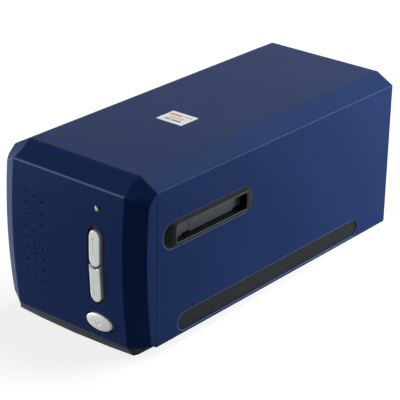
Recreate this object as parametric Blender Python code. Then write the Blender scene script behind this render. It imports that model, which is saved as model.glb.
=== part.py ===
"""Desktop film negative scanner: a moulded blue housing round a sliding scan carriage.

Metres, +Z up. The front faces -Y, the scanner's right side faces +X, and the feet stand on z = 0.
Each object is one real piece. A moving piece has its origin on the axis of its joint.
"""

from math import acos, atan, atan2, cos, hypot, pi, radians, sin, sqrt, tan

import bmesh
import bpy
from mathutils import Vector

MM = 0.001

# Clearances and overruns that every piece shares
GAP = 0.3 * MM
CUT_OVERRUN = 2 * MM
WELD = 0.01 * MM

# Whole scanner
BODY_WIDTH = 120 * MM
BODY_DEPTH = 272 * MM
BODY_HEIGHT = 118.5 * MM
FOOT_HEIGHT = 4 * MM
WALL = 2.6 * MM
EDGE_ROUND = 0.5 * MM

# Main housing: a sleeve with sloped shoulders
SHOULDER_RUN = 13.5 * MM
SHOULDER_DROP = 7.4 * MM
HOUSING_LIFT = 2 * MM

# Front bezel: a bulging face, sloped cheeks and a sloped brow
FACE_FROM_SEAM = 17.2 * MM
FACE_RADIUS = 380 * MM
FACE_BULGE_Z = 68 * MM
CHEEK_WIDTH = 13 * MM
CHEEK_RAKE = 7.9 * MM
CHEEK_TOP_DROP = 14.3 * MM
CORNER_KNEE = 4.5 * MM
BROW_DROP = 9 * MM
BROW_WAIST = 1.2 * MM
BEZEL_LIFT = 3.6 * MM
BEZEL_ROWS = 10
CORNER_KNEE_STEPS = 5
CORNER_STEPS = 7
TONGUE_DEPTH = 3.5 * MM
TONGUE_WALL = 1.5 * MM
TONGUE_ROOT = 1.8 * MM
TONGUE_ROOT_INSET = 1.95 * MM

# Scan buttons: two caps in one pill-shaped surround
BUTTONS_FROM_CHEEK = 22 * MM
CAP_WIDTH = 10.2 * MM
CAP_STACK_BOTTOM = 32.8 * MM
CAP_STACK_FROM_TOP = 36 * MM
CAP_PARTING = 1 * MM
CAP_RAISE = 1.5 * MM
CAP_EDGE_ROUND = 0.5 * MM
CAP_TRAVEL = 1 * MM
CAP_FLANGE = 1.2 * MM
CAP_FLANGE_THICKNESS = 1.2 * MM
CAP_STEM_RADIUS = 1.6 * MM
CAP_ARC_STEPS = 8
CAP_GROOVE_WIDTH = 0.5 * MM
CAP_GROOVE_DEPTH = 0.35 * MM
CAP_GROOVE_X = -0.8 * MM
CAP_GROOVE_MARGIN_SHARE = 0.3
CAP_ARROW = 1.3 * MM
SURROUND_MARGIN = 1.9 * MM
SURROUND_SET_BACK = 0.8 * MM
SURROUND_FLANGE = 2 * MM
SURROUND_FLANGE_THICKNESS = 1.2 * MM
SURROUND_SIDE_STEPS = 6

# Power button: an oval dome
POWER_FROM_CHEEK = 21.3 * MM
POWER_Z = 18.2 * MM
POWER_WIDTH = 23 * MM
POWER_HEIGHT = 12 * MM
POWER_RAISE = 1.1 * MM
POWER_CROWN = 1.2 * MM
POWER_TRAVEL = 1.2 * MM
POWER_CROWN_SHARES = (1.0, 0.97, 0.85, 0.62, 0.3)
POWER_FLANGE = 1.2 * MM
POWER_FLANGE_THICKNESS = 1.2 * MM
POWER_STEM_RADIUS = 1.8 * MM
POWER_SEGMENTS = 28
POWER_RING_WIDTH = 0.45 * MM
POWER_RING_RADIUS = 2.1 * MM
POWER_MARK_DEPTH = 0.3 * MM

# Status lamp and the dimple field
LED_FROM_CHEEK = 21.3 * MM
LED_FROM_TOP = 22.2 * MM
LED_HOLE_RADIUS = 2.1 * MM
LED_LENS_RADIUS = 1.7 * MM
LED_SET_BACK = 0.5 * MM
LED_FLANGE = 1 * MM
LED_FLANGE_THICKNESS = 1 * MM
DIMPLE_RADIUS = 1.1 * MM
DIMPLE_DEPTH = 0.6 * MM
DIMPLE_PITCH_X = 7 * MM
DIMPLE_COLUMN_DROP = 2.2 * MM
DIMPLES_FROM_CHEEK = 13.1 * MM
DIMPLES_FROM_TOP = 27.2 * MM
DIMPLE_LOWEST_Z = 25.3 * MM
DIMPLE_COUNTS = (8, 9, 8)
DIMPLE_SIDES = 8

# Film slot, its proud frame and its dust flap, the same on both sides
SLOT_FROM_SEAM = 50.6 * MM
SLOT_FROM_TOP = 39.6 * MM
FRAME_FORWARD = 0.5 * MM
FRAME_DROP = 0.4 * MM
FRAME_LENGTH = 88.2 * MM
FRAME_HEIGHT = 17.8 * MM
FRAME_RAISE = 2.5 * MM
FRAME_LIP = 2 * MM
FRAME_INNER_DEPTH = 6.8 * MM
FRAME_CORNER_STEPS = 5
FRAME_HUMP_STEPS = 4
MOUTH_LENGTH = 69.7 * MM
MOUTH_HEIGHT = 11.6 * MM
MOUTH_CORNER = 1.2 * MM
FLAP_DEPTH = 3 * MM
FLAP_THICKNESS = 1.5 * MM
FLAP_CLEARANCE = 0.4 * MM
FLAP_BARREL_RADIUS = 1.8 * MM
FLAP_PIN_RADIUS = 0.7 * MM
FLAP_PIN_SEAT = 2.6 * MM
FLAP_GROOVE_FROM_END = 17.2 * MM
FLAP_GROOVE_WIDTH = 0.6 * MM
FLAP_GROOVE_DEPTH = 0.5 * MM
FLAP_NOTCH_FRONT = 7.4 * MM
FLAP_NOTCH_REAR = 8.3 * MM
FLAP_NOTCH_RISE = 1.2 * MM
FLAP_SPRING_ROOM = 5 * MM
FLAP_ARC_STEPS = 9
SPRING_WIRE = 0.4 * MM
SPRING_COIL_RADIUS = 1.25 * MM
SPRING_TURNS = 4
SPRING_POINTS_PER_TURN = 8
SPRING_SIDES = 5

# Rubber side strips
STRIP_FROM_SEAM = 20.6 * MM
STRIP_FROM_BACK = 35.4 * MM
STRIP_HEIGHT = 12.6 * MM
STRIP_Z = 14.4 * MM
STRIP_SET_BACK = 0.8 * MM
STRIP_FLANGE = 1.2 * MM
STRIP_FLANGE_THICKNESS = 1.2 * MM
STRIP_ARC_STEPS = 6

# Base tray, its feet and its screws
TRAY_FLOOR = 2.5 * MM
LIP_SET_BACK = 0.9 * MM
LIP_RADIUS = 273 * MM
LIP_CORNER = 4 * MM
LIP_BEVEL = 0.6 * MM
LIP_ARC_STEPS = 10
LIP_CORNER_STEPS = 5
FOOT_RADIUS = 7 * MM
FOOT_TAPER = 1 * MM
FOOT_STUD_RADIUS = 1.8 * MM
FOOT_FROM_SIDE = 14 * MM
FOOT_FRONT_FROM_SEAM = 20 * MM
FOOT_REAR_FROM_BACK = 30 * MM
FOOT_SEGMENTS = 16
SCREW_FROM_SIDE = 8.6 * MM
SCREW_FROM_END = 8 * MM
SCREW_HEAD_RADIUS = 2.9 * MM
SCREW_HEAD_HEIGHT = 1.4 * MM
SCREW_SHANK_RADIUS = 1.3 * MM
SCREW_LENGTH = 9 * MM
SCREW_SINK = 1.6 * MM
SCREW_SLOT_WIDTH = 0.7 * MM
SCREW_SLOT_DEPTH = 0.6 * MM
SCREW_SEGMENTS = 12
SCREW_CROWN_SHARE = 0.8
BOSS_RADIUS = 3.4 * MM
BOSS_LENGTH = 13 * MM

# Rear panel with its vents and sockets
PANEL_SET_BACK = 1.5 * MM
PANEL_THICKNESS = 2 * MM
VENT_COUNT = 7
VENT_WIDTH = 2 * MM
VENT_PITCH = 6 * MM
VENT_HEIGHT = 26 * MM
VENT_ARC_STEPS = 3
VENT_FROM_TOP = 36.5 * MM
PANEL_RIB_DEPTH = 3 * MM
PANEL_RIB_WALL = 1.6 * MM
PANEL_RIB_INSET = 6 * MM

# Film stage
CHANNEL_DROP = 0.5 * MM
STAGE_PLATE = 3 * MM
STAGE_TO_FRAME = 2.2 * MM
STAGE_RAIL_WALL = 2.2 * MM
STAGE_RAIL_HEIGHT = 8 * MM
STAGE_RAIL_FLARE = 6 * MM
STAGE_LEDGE = 6 * MM
STAGE_LEG = 6 * MM
STAGE_LEG_INSET = 4 * MM
WINDOW_WIDTH = 38 * MM
WINDOW_DEPTH = 26 * MM
WINDOW_BEVEL = 2 * MM
WINDOW_ARC_STEPS = 2
DETENT_LENGTH = 22 * MM
DETENT_THICKNESS = 0.4 * MM
DETENT_BUMP = 1 * MM
DETENT_HEIGHT = 4 * MM
DETENT_BUMP_SHARE = 0.36
DETENT_WINDOW_MARGIN = 1.5 * MM

# Lamp over the film
LAMP_LIFT = 3.5 * MM
LAMP_HALF_WIDTH = 27 * MM
LAMP_BOX_DEPTH = 46 * MM
LAMP_BOX_HEIGHT = 15 * MM
LAMP_WALL = 1.8 * MM
LAMP_BRIDGE = 2.2 * MM
LAMP_LEG_WIDTH = 30 * MM
LAMP_TUBE_RADIUS = 1.5 * MM
LAMP_TUBE_CAP = 4 * MM
LAMP_TUBE_CAP_RADIUS = 2.6 * MM
DIFFUSER_THICKNESS = 1.6 * MM
DIFFUSER_LEDGE = 1.2 * MM
INVERTER_WIDTH = 20 * MM
INVERTER_DEPTH = 60 * MM
INVERTER_THICKNESS = 1.6 * MM
INVERTER_FROM_STAGE = 10 * MM
INVERTER_BOSS_INSET = 6 * MM
INVERTER_COIL_WIDTH = 9 * MM
INVERTER_COIL_DEPTH = 16 * MM
INVERTER_COIL_HEIGHT = 6 * MM

# Scan carriage
SCAN_TRAVEL = 26 * MM
CARRIAGE_FLOOR_SHARE = 0.186
CARRIAGE_FLOOR = 2.4 * MM
CARRIAGE_FROM_ROD = 12 * MM
CARRIAGE_WALL = 2 * MM
CARRIAGE_FRONT_ROOM = 27 * MM
CARRIAGE_TOP_CLEARANCE = 3.2 * MM
CARRIAGE_REAR_TRIM = 4 * MM
BEARING_LENGTH = 10 * MM
BEARING_WIDTH = 11 * MM
BEARING_HEIGHT = 9.6 * MM
BEARING_FROM_FRONT = 38 * MM
BEARING_FROM_REAR = 24 * MM
ROD_RADIUS = 3 * MM
ROD_FROM_SIDE = 26 * MM
ROD_ABOVE_FLOOR = 4 * MM
ROD_POST_WIDTH = 12 * MM
ROD_POST_LENGTH = 5 * MM
ROD_POST_OVER = 4 * MM
ROD_POST_FROM_PANEL = 28 * MM
ROD_END_PLAY = 1 * MM
ROD_SEAT = 3.5 * MM
ROUND_SEGMENTS = 16
SMALL_SEGMENTS = 12

# Optics on the carriage
OPTIC_SIDE_ROOM = 1 * MM
MIRROR_HEIGHT_SHARE = 0.58
MIRROR_THICKNESS = 2 * MM
MIRROR_RIB_WALL = 2 * MM
LENS_FROM_MIRROR = 58 * MM
LENS_LENGTH = 30 * MM
LENS_RADIUS_SHARE = 0.5
LENS_FLANGE = 2 * MM
LENS_FLANGE_LENGTH = 5 * MM
LENS_GLASS_RIM = 3 * MM
LENS_GLASS_SINK = 2 * MM
LENS_GLASS_CROWN = 0.8 * MM
LENS_SEGMENTS = 24
SADDLE_LENGTH = 18 * MM
STRAP_WIDTH = 10 * MM
STRAP_THICKNESS = 1.2 * MM
STRAP_EAR = 2.6 * MM
SENSOR_BOARD_SHARE = 0.8
BOARD_THICKNESS = 1.6 * MM
SENSOR_FROM_BOARD_EDGE = 2 * MM
SENSOR_HEIGHT = 8 * MM
SENSOR_THICKNESS = 3 * MM

# Gear train that moves the carriage
GEAR_MODULE = 0.8 * MM
PINION_TEETH = 12
WHEEL_TEETH = 30
ADDENDUM_SHARE = 0.7
DEDENDUM_SHARE = 1.2
TOOTH_ROOT_SHARE = 0.5
TOOTH_PITCH_SHARE = 0.35
TOOTH_TIP_SHARE = 0.17
RACK_FROM_ROD = 2 * MM
RACK_LIFT = 16.5 * MM
RACK_HEIGHT = 5 * MM
RACK_TEETH = 17
GEAR_FROM_STAGE = 16 * MM
WHEEL_UNDER_RACK = 4.5 * MM
WHEEL_THICKNESS = 3 * MM
WHEEL_HUB_GAP = 0.6 * MM
STUD_RADIUS = 1.5 * MM
STUD_HEAD_RADIUS = 3 * MM
STUD_HEAD = 1 * MM
MOTOR_SHIFT_X = -5.2 * MM
MOTOR_RADIUS = 12.5 * MM
MOTOR_HEIGHT = 16 * MM
MOTOR_BOSS_RADIUS = 3.5 * MM
MOTOR_EAR_REACH = 16 * MM
MOTOR_EAR_RADIUS = 3.2 * MM
MOTOR_EAR_THICKNESS = 1 * MM
MOTOR_EAR_STEPS = 4
MOTOR_SHAFT_RADIUS = 1 * MM
MOTOR_SHAFT_IN = 8 * MM
MOTOR_PINION_BORE = 1.3 * MM
MOTOR_PINION_HEIGHT = 4.4 * MM
MOTOR_SEGMENTS = 24
MOTOR_SCREW_RADIUS = 1.1 * MM
MOTOR_SCREW_HEAD_RADIUS = 2.1 * MM
MOTOR_SCREW_HEAD = 1.2 * MM
MOTOR_SCREW_LENGTH = 3 * MM
BRACKET_PLATE = 1.5 * MM
BRACKET_OVER_RACK = 0.8 * MM
BRACKET_FROM_WALL = 4 * MM
BRACKET_INNER_ROOM = 5 * MM
BRACKET_FRONT_ROOM = 10 * MM
BRACKET_REAR_ROOM = 21 * MM
BRACKET_FOOT = 6 * MM

# Boards
BUTTON_BOARD_WIDTH = 26 * MM
BUTTON_BOARD_BOTTOM = 12 * MM
BUTTON_BOARD_FROM_TOP = 17.5 * MM
SWITCH_SIZE = 6 * MM
SWITCH_BODY = 3 * MM
SWITCH_PLUNGER_RADIUS = 1.5 * MM
SWITCH_PLUNGER = 0.8 * MM
LED_BULB_RADIUS = 1.5 * MM
LED_BULB_HEIGHT = 3 * MM
LED_BULB_CROWN = 0.75 * MM
MAIN_BOARD_FROM_ROD = 8 * MM
MAIN_BOARD_LENGTH = 118 * MM
MAIN_BOARD_LIFT = 3 * MM
MAIN_BOARD_FROM_PANEL = 2 * MM
STANDOFF_RADIUS = 2.4 * MM
STANDOFF_INSET = 5 * MM
CHIP_SIZE = 20 * MM
CHIP_HEIGHT = 2 * MM
CHIP_FROM_REAR = 70 * MM
USB_X = -12 * MM
USB_WIDTH = 12 * MM
USB_HEIGHT = 11 * MM
USB_LENGTH = 16 * MM
USB_PORT_WIDTH = 8.8 * MM
USB_PORT_HEIGHT = 8 * MM
USB_PORT_DEPTH = 9 * MM
USB_TONGUE_WIDTH = 5.6 * MM
USB_TONGUE_HEIGHT = 3 * MM
USB_TONGUE_SINK = 4.8 * MM
INLET_X = 12 * MM
INLET_WIDTH = 9.4 * MM
INLET_HEIGHT = 11 * MM
INLET_LENGTH = 14 * MM
INLET_BORE_RADIUS = 3.3 * MM
INLET_DEPTH = 9 * MM
INLET_PIN_RADIUS = 1 * MM
INLET_PIN_SINK = 4.8 * MM

# Places that follow from the sizes above
BACK_Y = BODY_DEPTH / 2
FRONT_Y = -BODY_DEPTH / 2
HALF_WIDTH = BODY_WIDTH / 2
CAP_STACK_TOP = BODY_HEIGHT - CAP_STACK_FROM_TOP
CAP_SPLIT = (CAP_STACK_TOP + CAP_STACK_BOTTOM) / 2
FACE_Y = FRONT_Y + CAP_RAISE
SEAM_Y = FACE_Y + FACE_FROM_SEAM
HOUSING_BOTTOM = FOOT_HEIGHT + HOUSING_LIFT
BEZEL_BOTTOM = FOOT_HEIGHT + BEZEL_LIFT
TRAY_TOP = FOOT_HEIGHT + TRAY_FLOOR
TRAY_HALF_WIDTH = HALF_WIDTH - WALL - GAP
FACE_HALF_WIDTH = HALF_WIDTH - CHEEK_WIDTH
FACE_TOP = BODY_HEIGHT - BROW_DROP
CHEEK_TOP = BODY_HEIGHT - CHEEK_TOP_DROP
CAP_STACK_HEIGHT = CAP_STACK_TOP - CAP_STACK_BOTTOM
BUTTONS_X = FACE_HALF_WIDTH - BUTTONS_FROM_CHEEK
POWER_X = FACE_HALF_WIDTH - POWER_FROM_CHEEK
LED_X = FACE_HALF_WIDTH - LED_FROM_CHEEK
LED_Z = BODY_HEIGHT - LED_FROM_TOP
DIMPLE_FIRST_X = DIMPLES_FROM_CHEEK - FACE_HALF_WIDTH
DIMPLE_FIRST_Z = BODY_HEIGHT - DIMPLES_FROM_TOP
DIMPLE_FIELD_Z = DIMPLE_FIRST_Z - DIMPLE_COLUMN_DROP - DIMPLE_LOWEST_Z
DIMPLE_PITCH_Z = DIMPLE_FIELD_Z / (DIMPLE_COUNTS[1] - 1)
LIP_Y = FACE_Y + LIP_SET_BACK
SLOT_Y = SEAM_Y + SLOT_FROM_SEAM
SLOT_Z = BODY_HEIGHT - SLOT_FROM_TOP
FRAME_Y = SLOT_Y - FRAME_FORWARD
FRAME_Z = SLOT_Z - FRAME_DROP
FRAME_INNER_X = HALF_WIDTH - FRAME_INNER_DEPTH
MOUTH_BOTTOM = SLOT_Z - MOUTH_HEIGHT / 2
MOUTH_TOP = SLOT_Z + MOUTH_HEIGHT / 2
FLAP_FACE_X = HALF_WIDTH - FLAP_DEPTH
FLAP_AXIS_X = FLAP_FACE_X - FLAP_BARREL_RADIUS
FLAP_AXIS_Z = MOUTH_TOP - FLAP_CLEARANCE - FLAP_BARREL_RADIUS
FLAP_FRONT_Y = SLOT_Y - MOUTH_LENGTH / 2 + FLAP_CLEARANCE
FLAP_REAR_Y = SLOT_Y + MOUTH_LENGTH / 2 - FLAP_CLEARANCE
STRIP_LENGTH = BACK_Y - STRIP_FROM_BACK - SEAM_Y - STRIP_FROM_SEAM
STRIP_Y = SEAM_Y + STRIP_FROM_SEAM + STRIP_LENGTH / 2
PANEL_Y = BACK_Y - PANEL_SET_BACK
VENT_Z = BODY_HEIGHT - VENT_FROM_TOP
STAGE_HALF_WIDTH = FRAME_INNER_X - STAGE_TO_FRAME
CHANNEL_Z = MOUTH_BOTTOM - CHANNEL_DROP
STAGE_BOTTOM = CHANNEL_Z - STAGE_PLATE
STAGE_FRONT_Y = SLOT_Y - MOUTH_LENGTH / 2 - STAGE_RAIL_WALL - STAGE_LEDGE
STAGE_REAR_Y = SLOT_Y + MOUTH_LENGTH / 2 + STAGE_RAIL_WALL + STAGE_LEDGE
LAMP_BOTTOM = MOUTH_TOP + LAMP_LIFT
INVERTER_Y = STAGE_REAR_Y + INVERTER_FROM_STAGE
CARRIAGE_FLOOR_Z = BODY_HEIGHT * CARRIAGE_FLOOR_SHARE
CARRIAGE_FLOOR_TOP = CARRIAGE_FLOOR_Z + CARRIAGE_FLOOR
CARRIAGE_TOP = STAGE_BOTTOM - CARRIAGE_TOP_CLEARANCE
CARRIAGE_ROOM = CARRIAGE_TOP - CARRIAGE_FLOOR_TOP
OPTIC_Z = (CARRIAGE_TOP + CARRIAGE_FLOOR_TOP) / 2
ROD_X = HALF_WIDTH - ROD_FROM_SIDE
ROD_Z = CARRIAGE_FLOOR_Z + ROD_ABOVE_FLOOR
CARRIAGE_HALF_WIDTH = ROD_X - CARRIAGE_FROM_ROD
OPTIC_HALF_WIDTH = CARRIAGE_HALF_WIDTH - CARRIAGE_WALL - OPTIC_SIDE_ROOM
CARRIAGE_FRONT_Y = SLOT_Y - CARRIAGE_FRONT_ROOM
ROD_POST_FRONT_Y = CARRIAGE_FRONT_Y - SCAN_TRAVEL / 2 - ROD_END_PLAY
ROD_POST_REAR_Y = PANEL_Y - ROD_POST_FROM_PANEL
CARRIAGE_REAR_Y = ROD_POST_REAR_Y - SCAN_TRAVEL / 2 - ROD_END_PLAY
MIRROR_REACH = CARRIAGE_ROOM * MIRROR_HEIGHT_SHARE / 2
LENS_Y = SLOT_Y + LENS_FROM_MIRROR
LENS_RADIUS = (CARRIAGE_HALF_WIDTH - CARRIAGE_WALL) * LENS_RADIUS_SHARE
SENSOR_BOARD_Y = CARRIAGE_REAR_Y - CARRIAGE_WALL - GAP - BOARD_THICKNESS
SENSOR_BOARD_HEIGHT = CARRIAGE_ROOM * SENSOR_BOARD_SHARE
PINION_RADIUS = GEAR_MODULE * PINION_TEETH / 2
WHEEL_RADIUS = GEAR_MODULE * WHEEL_TEETH / 2
RACK_PITCH_X = RACK_FROM_ROD - ROD_X
RACK_Z = CARRIAGE_FLOOR_Z + RACK_LIFT
WHEEL_Z = RACK_Z - WHEEL_UNDER_RACK
GEAR_X = RACK_PITCH_X - PINION_RADIUS
GEAR_Y = STAGE_REAR_Y + GEAR_FROM_STAGE
MOTOR_X = GEAR_X + MOTOR_SHIFT_X
MOTOR_Y = GEAR_Y + sqrt((PINION_RADIUS + WHEEL_RADIUS) ** 2 - MOTOR_SHIFT_X ** 2)
BRACKET_X = WALL + BRACKET_FROM_WALL - HALF_WIDTH
BRACKET_Z = RACK_Z + RACK_HEIGHT + BRACKET_OVER_RACK
MOTOR_Z = BRACKET_Z + BRACKET_PLATE + GAP
MAIN_BOARD_HALF_WIDTH = ROD_X - MAIN_BOARD_FROM_ROD
MAIN_BOARD_Z = TRAY_TOP + MAIN_BOARD_LIFT
MAIN_BOARD_REAR_Y = PANEL_Y - PANEL_THICKNESS - MAIN_BOARD_FROM_PANEL
SOCKET_Z = MAIN_BOARD_Z + BOARD_THICKNESS + GAP


def face_y(z):
    """Where the bulging face lies at a height."""
    return FACE_Y + (z - FACE_BULGE_Z) ** 2 / (2 * FACE_RADIUS)


SURROUND_SEAT_Y = face_y(CAP_STACK_BOTTOM - SURROUND_MARGIN - SURROUND_FLANGE) + WALL + GAP
CAP_FLANGE_Y = SURROUND_SEAT_Y + SURROUND_FLANGE_THICKNESS + GAP
POWER_FLANGE_Y = face_y(POWER_Z - POWER_HEIGHT / 2 - POWER_FLANGE) + WALL + GAP
SWITCH_FRONT_Y = POWER_FLANGE_Y + POWER_FLANGE_THICKNESS + POWER_TRAVEL + 3 * GAP
BUTTON_BOARD_Y = SWITCH_FRONT_Y + SWITCH_PLUNGER + SWITCH_BODY + GAP


# Materials

def finish(name, color, roughness, metallic=0.0):
    material = bpy.data.materials.new(name)
    material.use_nodes = True
    shader = material.node_tree.nodes["Principled BSDF"]
    shader.inputs["Base Color"].default_value = (*color, 1.0)
    shader.inputs["Roughness"].default_value = roughness
    shader.inputs["Metallic"].default_value = metallic
    material.diffuse_color = (*color, 1.0)
    return material


BLUE_COLOR = (0.017, 0.033, 0.11)
DARK_COLOR = (0.045, 0.045, 0.05)
BLACK_COLOR = (0.012, 0.012, 0.014)
SILVER_COLOR = (0.66, 0.66, 0.65)
RUBBER_COLOR = (0.03, 0.03, 0.032)
GREEN_COLOR = (0.05, 0.45, 0.12)
STEEL_COLOR = (0.55, 0.55, 0.57)
CARRIAGE_COLOR = (0.02, 0.02, 0.02)
IVORY_COLOR = (0.7, 0.68, 0.6)
BOARD_COLOR = (0.02, 0.16, 0.06)
BRASS_COLOR = (0.6, 0.45, 0.16)
GLASS_COLOR = (0.6, 0.7, 0.75)
WHITE_COLOR = (0.85, 0.85, 0.82)


# Building blocks

def piece(name, mesh, material, origin=(0, 0, 0), smooth_angle=30):
    """Turns a bmesh into a named object whose origin lies at the given point."""
    place = Vector(origin)
    bmesh.ops.remove_doubles(mesh, verts=mesh.verts, dist=WELD)
    bmesh.ops.translate(mesh, verts=mesh.verts, vec=-place)
    bmesh.ops.recalc_face_normals(mesh, faces=mesh.faces)
    data = bpy.data.meshes.new(name)
    mesh.to_mesh(data)
    mesh.free()
    data.materials.append(material)
    data.shade_smooth()
    data.set_sharp_from_angle(angle=radians(smooth_angle))
    made = bpy.data.objects.new(name, data)
    made.location = place
    bpy.context.scene.collection.objects.link(made)
    return made


def tool(owner, mesh, operation):
    """Adds a Boolean modifier to a piece, with the bmesh as its hidden operand."""
    bmesh.ops.remove_doubles(mesh, verts=mesh.verts, dist=WELD)
    bmesh.ops.recalc_face_normals(mesh, faces=mesh.faces)
    name = f"{operation.lower()}_{len(owner.modifiers)}_{owner.name}"[:60]
    data = bpy.data.meshes.new(name)
    mesh.to_mesh(data)
    mesh.free()
    helper = bpy.data.objects.new(name, data)
    helper.hide_render = True
    helper.display_type = "WIRE"
    bpy.context.scene.collection.objects.link(helper)
    modifier = owner.modifiers.new(name, "BOOLEAN")
    modifier.operation = operation
    modifier.solver = "EXACT"
    modifier.object = helper
    return modifier


def cut(owner, mesh):
    return tool(owner, mesh, "DIFFERENCE")


def fuse(owner, mesh):
    return tool(owner, mesh, "UNION")


def round_edges(owner, width, angle=30, segments=2):
    bevel = owner.modifiers.new("edge round", "BEVEL")
    bevel.width = width
    bevel.segments = segments
    bevel.limit_method = "ANGLE"
    bevel.angle_limit = radians(angle)
    bevel.harden_normals = False
    return bevel


def place(axis, first, second, along):
    """A point from two coordinates across an axis and one along it."""
    if axis == "X":
        return Vector((along, first, second))
    if axis == "Y":
        return Vector((first, along, second))
    return Vector((first, second, along))


def loft(rings, ring_shaped=False, into=None):
    """Skins a row of outlines with equal point counts, capped or closed on itself."""
    mesh = into or bmesh.new()
    rows = [[mesh.verts.new(point) for point in ring] for ring in rings]
    pairs = list(zip(rows, rows[1:]))
    if ring_shaped:
        pairs.append((rows[-1], rows[0]))
    for lower, upper in pairs:
        count = len(lower)
        for index in range(count):
            after = (index + 1) % count
            mesh.faces.new((lower[index], lower[after], upper[after], upper[index]))
    if not ring_shaped:
        mesh.faces.new(rows[0])
        mesh.faces.new(rows[-1])
    return mesh


def prism(outline, axis, low, high, into=None):
    rings = [[place(axis, a, b, along) for a, b in outline] for along in (low, high)]
    return loft(rings, into=into)


def block(low, high, into=None):
    outline = ((low[0], low[1]), (high[0], low[1]), (high[0], high[1]), (low[0], high[1]))
    return prism(outline, "Z", low[2], high[2], into=into)


def circle(center, radius, segments, turn=0.0):
    return [
        (center[0] + radius * cos(turn + 2 * pi * index / segments),
         center[1] + radius * sin(turn + 2 * pi * index / segments))
        for index in range(segments)
    ]


def rod(axis, center, radius, low, high, segments=ROUND_SEGMENTS, into=None):
    return prism(circle(center, radius, segments), axis, low, high, into=into)


def turned(axis, center, profile, segments):
    """A solid of revolution from (radius, along) pairs, each radius over zero."""
    rings = [
        [place(axis, a, b, along) for a, b in circle(center, radius, segments)]
        for radius, along in profile
    ]
    return loft(rings)


def rounded(center, width, height, radius, steps):
    """A rectangle with round corners, or a pill where the radius is half the height."""
    points = []
    corners = ((1, -1, -pi / 2), (1, 1, 0), (-1, 1, pi / 2), (-1, -1, pi))
    for side, level, start in corners:
        middle = (center[0] + side * (width / 2 - radius), center[1] + level * (height / 2 - radius))
        for step in range(steps + 1):
            angle = start + pi / 2 * step / steps
            points.append((middle[0] + radius * cos(angle), middle[1] + radius * sin(angle)))
    return points


def pill(center, width, height, steps):
    return rounded(center, width, height, min(width, height) / 2, steps)


# Housing

def sleeve_outline(inset, bottom):
    """The housing's section across the depth, drawn in by an even wall."""
    slant = hypot(SHOULDER_RUN, SHOULDER_DROP)
    side = HALF_WIDTH - inset
    top = BODY_HEIGHT - inset
    shoulder_z = BODY_HEIGHT - SHOULDER_DROP - inset * (slant - SHOULDER_DROP) / SHOULDER_RUN
    shoulder_x = HALF_WIDTH - SHOULDER_RUN - inset * (slant - SHOULDER_RUN) / SHOULDER_DROP
    return [
        (-side, bottom), (-side, shoulder_z), (-shoulder_x, top),
        (shoulder_x, top), (side, shoulder_z), (side, bottom),
    ]


def sleeve(outer_inset, inner_inset, bottom, low, high):
    outline = sleeve_outline(outer_inset, bottom) + sleeve_outline(inner_inset, bottom)[::-1]
    return prism(outline, "Y", low, high)


def screw_places():
    for side in (-1, 1):
        for end in (SEAM_Y + SCREW_FROM_END, PANEL_Y - PANEL_THICKNESS - SCREW_FROM_END):
            yield side * (HALF_WIDTH - SCREW_FROM_SIDE), end


def make_main_housing(blue):
    housing = piece("main_housing", sleeve(0, WALL, HOUSING_BOTTOM, SEAM_Y, BACK_Y), blue)
    round_edges(housing, EDGE_ROUND, angle=20)
    for x, y in screw_places():
        side = 1 if x > 0 else -1
        low = TRAY_TOP + GAP
        fuse(housing, rod("Z", (x, y), BOSS_RADIUS, low, low + BOSS_LENGTH))
        web = sorted((x, side * (HALF_WIDTH - WALL / 2)))
        half = BOSS_RADIUS / 2
        fuse(housing, block((web[0], y - half, low), (web[1], y + half, low + BOSS_LENGTH - BOSS_RADIUS)))
        hole = SCREW_SHANK_RADIUS + GAP
        cut(housing, rod("Z", (x, y), hole, low - CUT_OVERRUN, low + SCREW_LENGTH))
    seat = STAGE_HALF_WIDTH + GAP
    boss_z = CHANNEL_Z + INVERTER_WIDTH / 2
    for y in (INVERTER_Y + INVERTER_BOSS_INSET, INVERTER_Y + INVERTER_DEPTH - INVERTER_BOSS_INSET):
        fuse(housing, rod("X", (y, boss_z), BOSS_RADIUS, seat, HALF_WIDTH - WALL / 2))
    reach = HALF_WIDTH + CUT_OVERRUN
    slot = pill((FRAME_Y, FRAME_Z), FRAME_LENGTH + 2 * GAP, FRAME_HEIGHT + 2 * GAP, FRAME_CORNER_STEPS)
    strip = pill((STRIP_Y, STRIP_Z), STRIP_LENGTH, STRIP_HEIGHT, STRIP_ARC_STEPS)
    for outline in (slot, strip):
        for low, high in ((-reach, -HALF_WIDTH + WALL + GAP), (HALF_WIDTH - WALL - GAP, reach)):
            cut(housing, prism(outline, "X", low, high))
    return housing


# Front bezel

def corner_line(knee, end):
    """The cheek's outer edge above its knee: a soft bend, then a straight chamfer to the seam.

    Each point comes with the share of the line's length that lies below it.
    """
    length = hypot(end[0] - knee[0], end[1] - knee[1])
    ahead = [(last - first) / length * CORNER_KNEE for first, last in zip(knee, end)]
    low = (knee[0], knee[1] - CORNER_KNEE)
    high = (knee[0] + ahead[0], knee[1] + ahead[1])
    points = [low]
    for step in range(1, CORNER_KNEE_STEPS + 1):
        share = step / CORNER_KNEE_STEPS
        weights = ((1 - share) ** 2, 2 * share * (1 - share), share ** 2)
        y, z = (sum(w * point[axis] for w, point in zip(weights, (low, knee, high))) for axis in (0, 1))
        points.append((y, z))
    straight = CORNER_STEPS - CORNER_KNEE_STEPS
    for step in range(1, straight + 1):
        share = step / straight
        points.append(tuple(high[axis] + share * (end[axis] - high[axis]) for axis in (0, 1)))
    lengths = [hypot(b[0] - a[0], b[1] - a[1]) for a, b in zip(points, points[1:])]
    total = sum(lengths)
    return [(sum(lengths[:index + 1]) / total, *point) for index, point in enumerate(points[1:])]


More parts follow.
